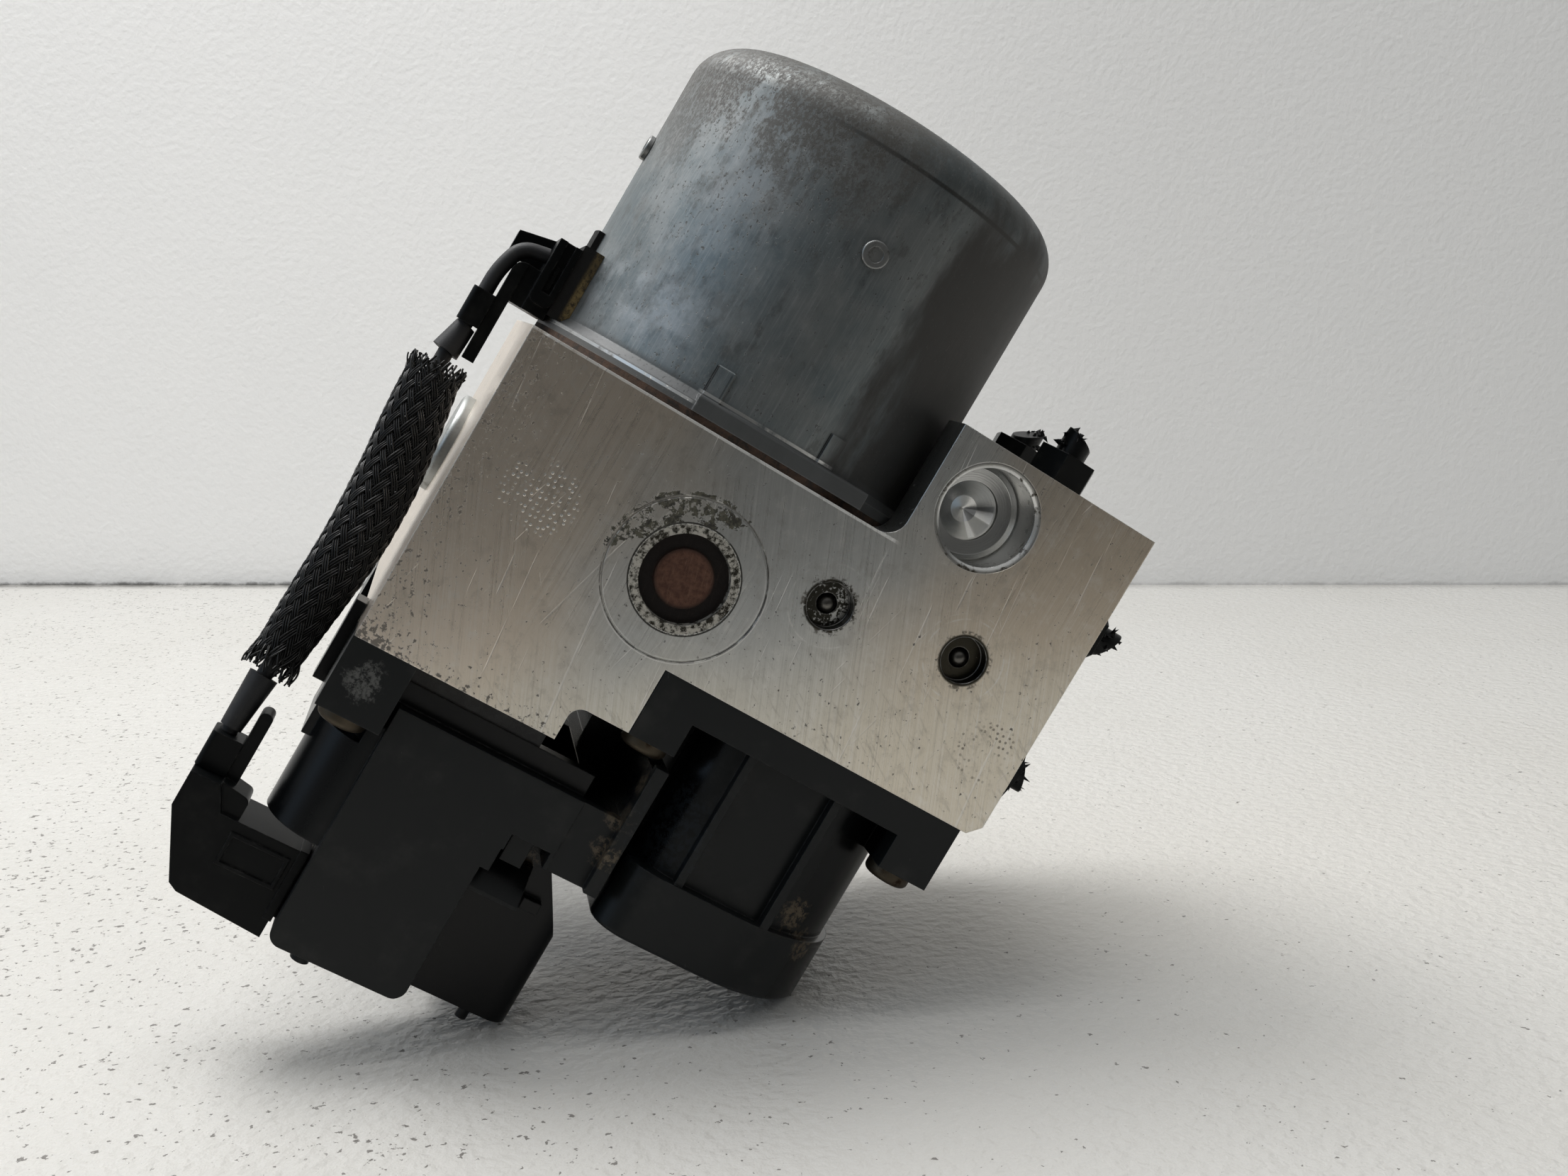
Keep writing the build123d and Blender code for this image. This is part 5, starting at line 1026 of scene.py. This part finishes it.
def stage_finish(name, pale, stain, ripple_depth, one_sided):
    f = Finish(name, Specular_IOR_Level=0.24)
    where = f.place()
    cloud = f.noise(where, 0.012, 5.0, 0.6)
    colour = f.mix(f.between(cloud, 0.35, 0.80) * 0.30, pale, stain)
    sideways = f.dot(where, along)
    if one_sided:
        crowd = f.between(sideways, 60.0, -90.0) * 0.05 + f.noise(where, 0.02, 3.0) * 0.10
        crumbs = f.between(f.noise(where, 0.55, 3.0, 0.6) + crowd, 0.735, 0.755)
        colour = f.mix(crumbs * 0.80, colour, (0.10, 0.09, 0.08))
        # A painted shadow on the floor under the unit.
        painted_shadow_distance = f.radius((sideways + 12.0) / 1.2, f.xyz(where)[1] + 8.0)
        colour = f.mix((1.0 - f.between(painted_shadow_distance, 12.0, 62.0)) * 0.72, colour, (0.15, 0.148, 0.14))
    else:
        # Painted shade: the wall darker towards the right.
        colour = f.mix(f.between(sideways, 0.0, 300.0) * 0.45, colour, (0.66, 0.65, 0.63))
    # A painted shadow line along the wall's foot, with some dirt, stronger on the left.
    from_floor = f.dot(where, up) - floor_level / mm
    left_side = f.between(sideways, 60.0, -60.0)
    gap = 1.0 - f.between(from_floor + f.noise(where, 0.07, 6.0, 0.75) * 5.0, 2.2, 4.4)
    near_wall = f.between(f.dot(where, level), wall_foot.dot(level) / mm - 14.0, wall_foot.dot(level) / mm)
    colour = f.mix(gap * near_wall * (left_side * 0.55 + 0.30), colour, (0.06, 0.057, 0.05))
    f.set("Base Color", colour)
    f.set("Roughness", 0.30)
    ripple = f.noise(where, 0.38, 3.0, 0.5)
    f.set("Normal", f.bump(ripple, ripple_depth, strength=0.6))
    if one_sided:
        facing = f.node("ShaderNodeNewGeometry", out=6)
        clear = f.node("ShaderNodeBsdfTransparent")
        painted_side = Wire(f, f.shader.outputs[0])
        f.join(f.output.inputs["Surface"],
               f.node("ShaderNodeMixShader", None, {0: facing, 1: painted_side, 2: clear}))
    return f.material


def panel(name, corners, material):
    mesh = bpy.data.meshes.new(name)
    mesh.from_pydata(corners, [], [(0, 1, 2, 3)])
    mesh.materials.append(material)
    made = bpy.data.objects.new(name, mesh)
    bpy.context.scene.collection.objects.link(made)
    return made


foot_of_camera = camera_place - up * camera_place.dot(up)
wall_foot = foot_of_camera + level * wall_distance + up * floor_level
across = level.cross(up)
floor_near = foot_of_camera - level * 0.03 + up * floor_level
floor_corners = [floor_near - across * room_reach, floor_near + across * room_reach,
                 wall_foot + across * room_reach, wall_foot - across * room_reach]
wall_corners = [wall_foot - across * room_reach, wall_foot + across * room_reach,
                wall_foot + across * room_reach + up * room_reach,
                wall_foot - across * room_reach + up * room_reach]
floor_paint = stage_finish("floor_paint", (0.565, 0.55, 0.52), (0.49, 0.47, 0.43), 1.3, True)
wall_paint = stage_finish("wall_paint", (0.95, 0.94, 0.92), (0.88, 0.875, 0.86), 0.35, False)
floor = panel("floor", floor_corners, floor_paint)
wall = panel("wall", wall_corners, wall_paint)
print("floor faces up", floor.data.polygons[0].normal.dot(up) > 0)

# %% [markdown]
# ## Light
# A window high on the left and a ceiling light stand above and behind the unit, so its
# front is in half shade and the floor before it keeps a wide soft shadow. The metal front
# mirrors what lies before it: the upper part a dark room, because the floor ends below the
# camera, and the lower part the pale floor. The world is that dark room, with a little light
# from above and a bluish pane on the left that draws the sheen on the rounded corners.

# %% Lamps
def lamp(name, place, aim, size, watts):
    data = bpy.data.lights.new(name, "AREA")
    data.shape = "DISK"
    data.size = size
    data.energy = watts
    made = bpy.data.objects.new(name, data)
    bpy.context.scene.collection.objects.link(made)
    made.location = place
    made.rotation_mode = "QUATERNION"
    made.rotation_quaternion = (aim - place).to_track_quat("-Z", "Y")


middle = in_room(0, -0.04, 0)
lamp("window", in_room(-0.40, 0.25, 0.95), middle, 0.5, 9.0)
lamp("ceiling", in_room(0.02, 0.0, 1.4), middle, 0.9, 9.0)

# %% World
world = bpy.data.worlds.new("room_light")
bpy.context.scene.world = world
world.use_nodes = True
world.node_tree.nodes.clear()
sky = Graph(world.node_tree)
ray = sky.node("ShaderNodeTexCoord")
to_left = sky.dot(ray, -along)
high = sky.dot(ray, up)
glow = sky.between(high, 0.20, 0.80) * 0.50 + sky.between(to_left, 0.25, 0.90) * 0.22
shade = sky.mix(glow, (0.095, 0.095, 0.092), (1.0, 1.01, 1.01))
pane = (up * 0.50 - along * 0.82 - back * 0.28).normalized()
shade = sky.mix(sky.between(sky.dot(ray, pane), 0.92, 0.98), shade, (0.75, 1.0, 1.3))
path = sky.node("ShaderNodeLightPath")
in_view = path.other("Is Camera Ray").most(path.other("Is Transmission Ray"))
room_colour = sky.mix(in_view, shade, (0.82, 0.83, 0.83))
light = sky.node("ShaderNodeBackground", None, {0: room_colour, 1: 0.9})
end = sky.tree.nodes.new("ShaderNodeOutputWorld")
sky.join(end.inputs["Surface"], light)
bpy.context.scene.view_settings.view_transform = "Standard"
print("world has", len(sky.tree.nodes), "nodes")
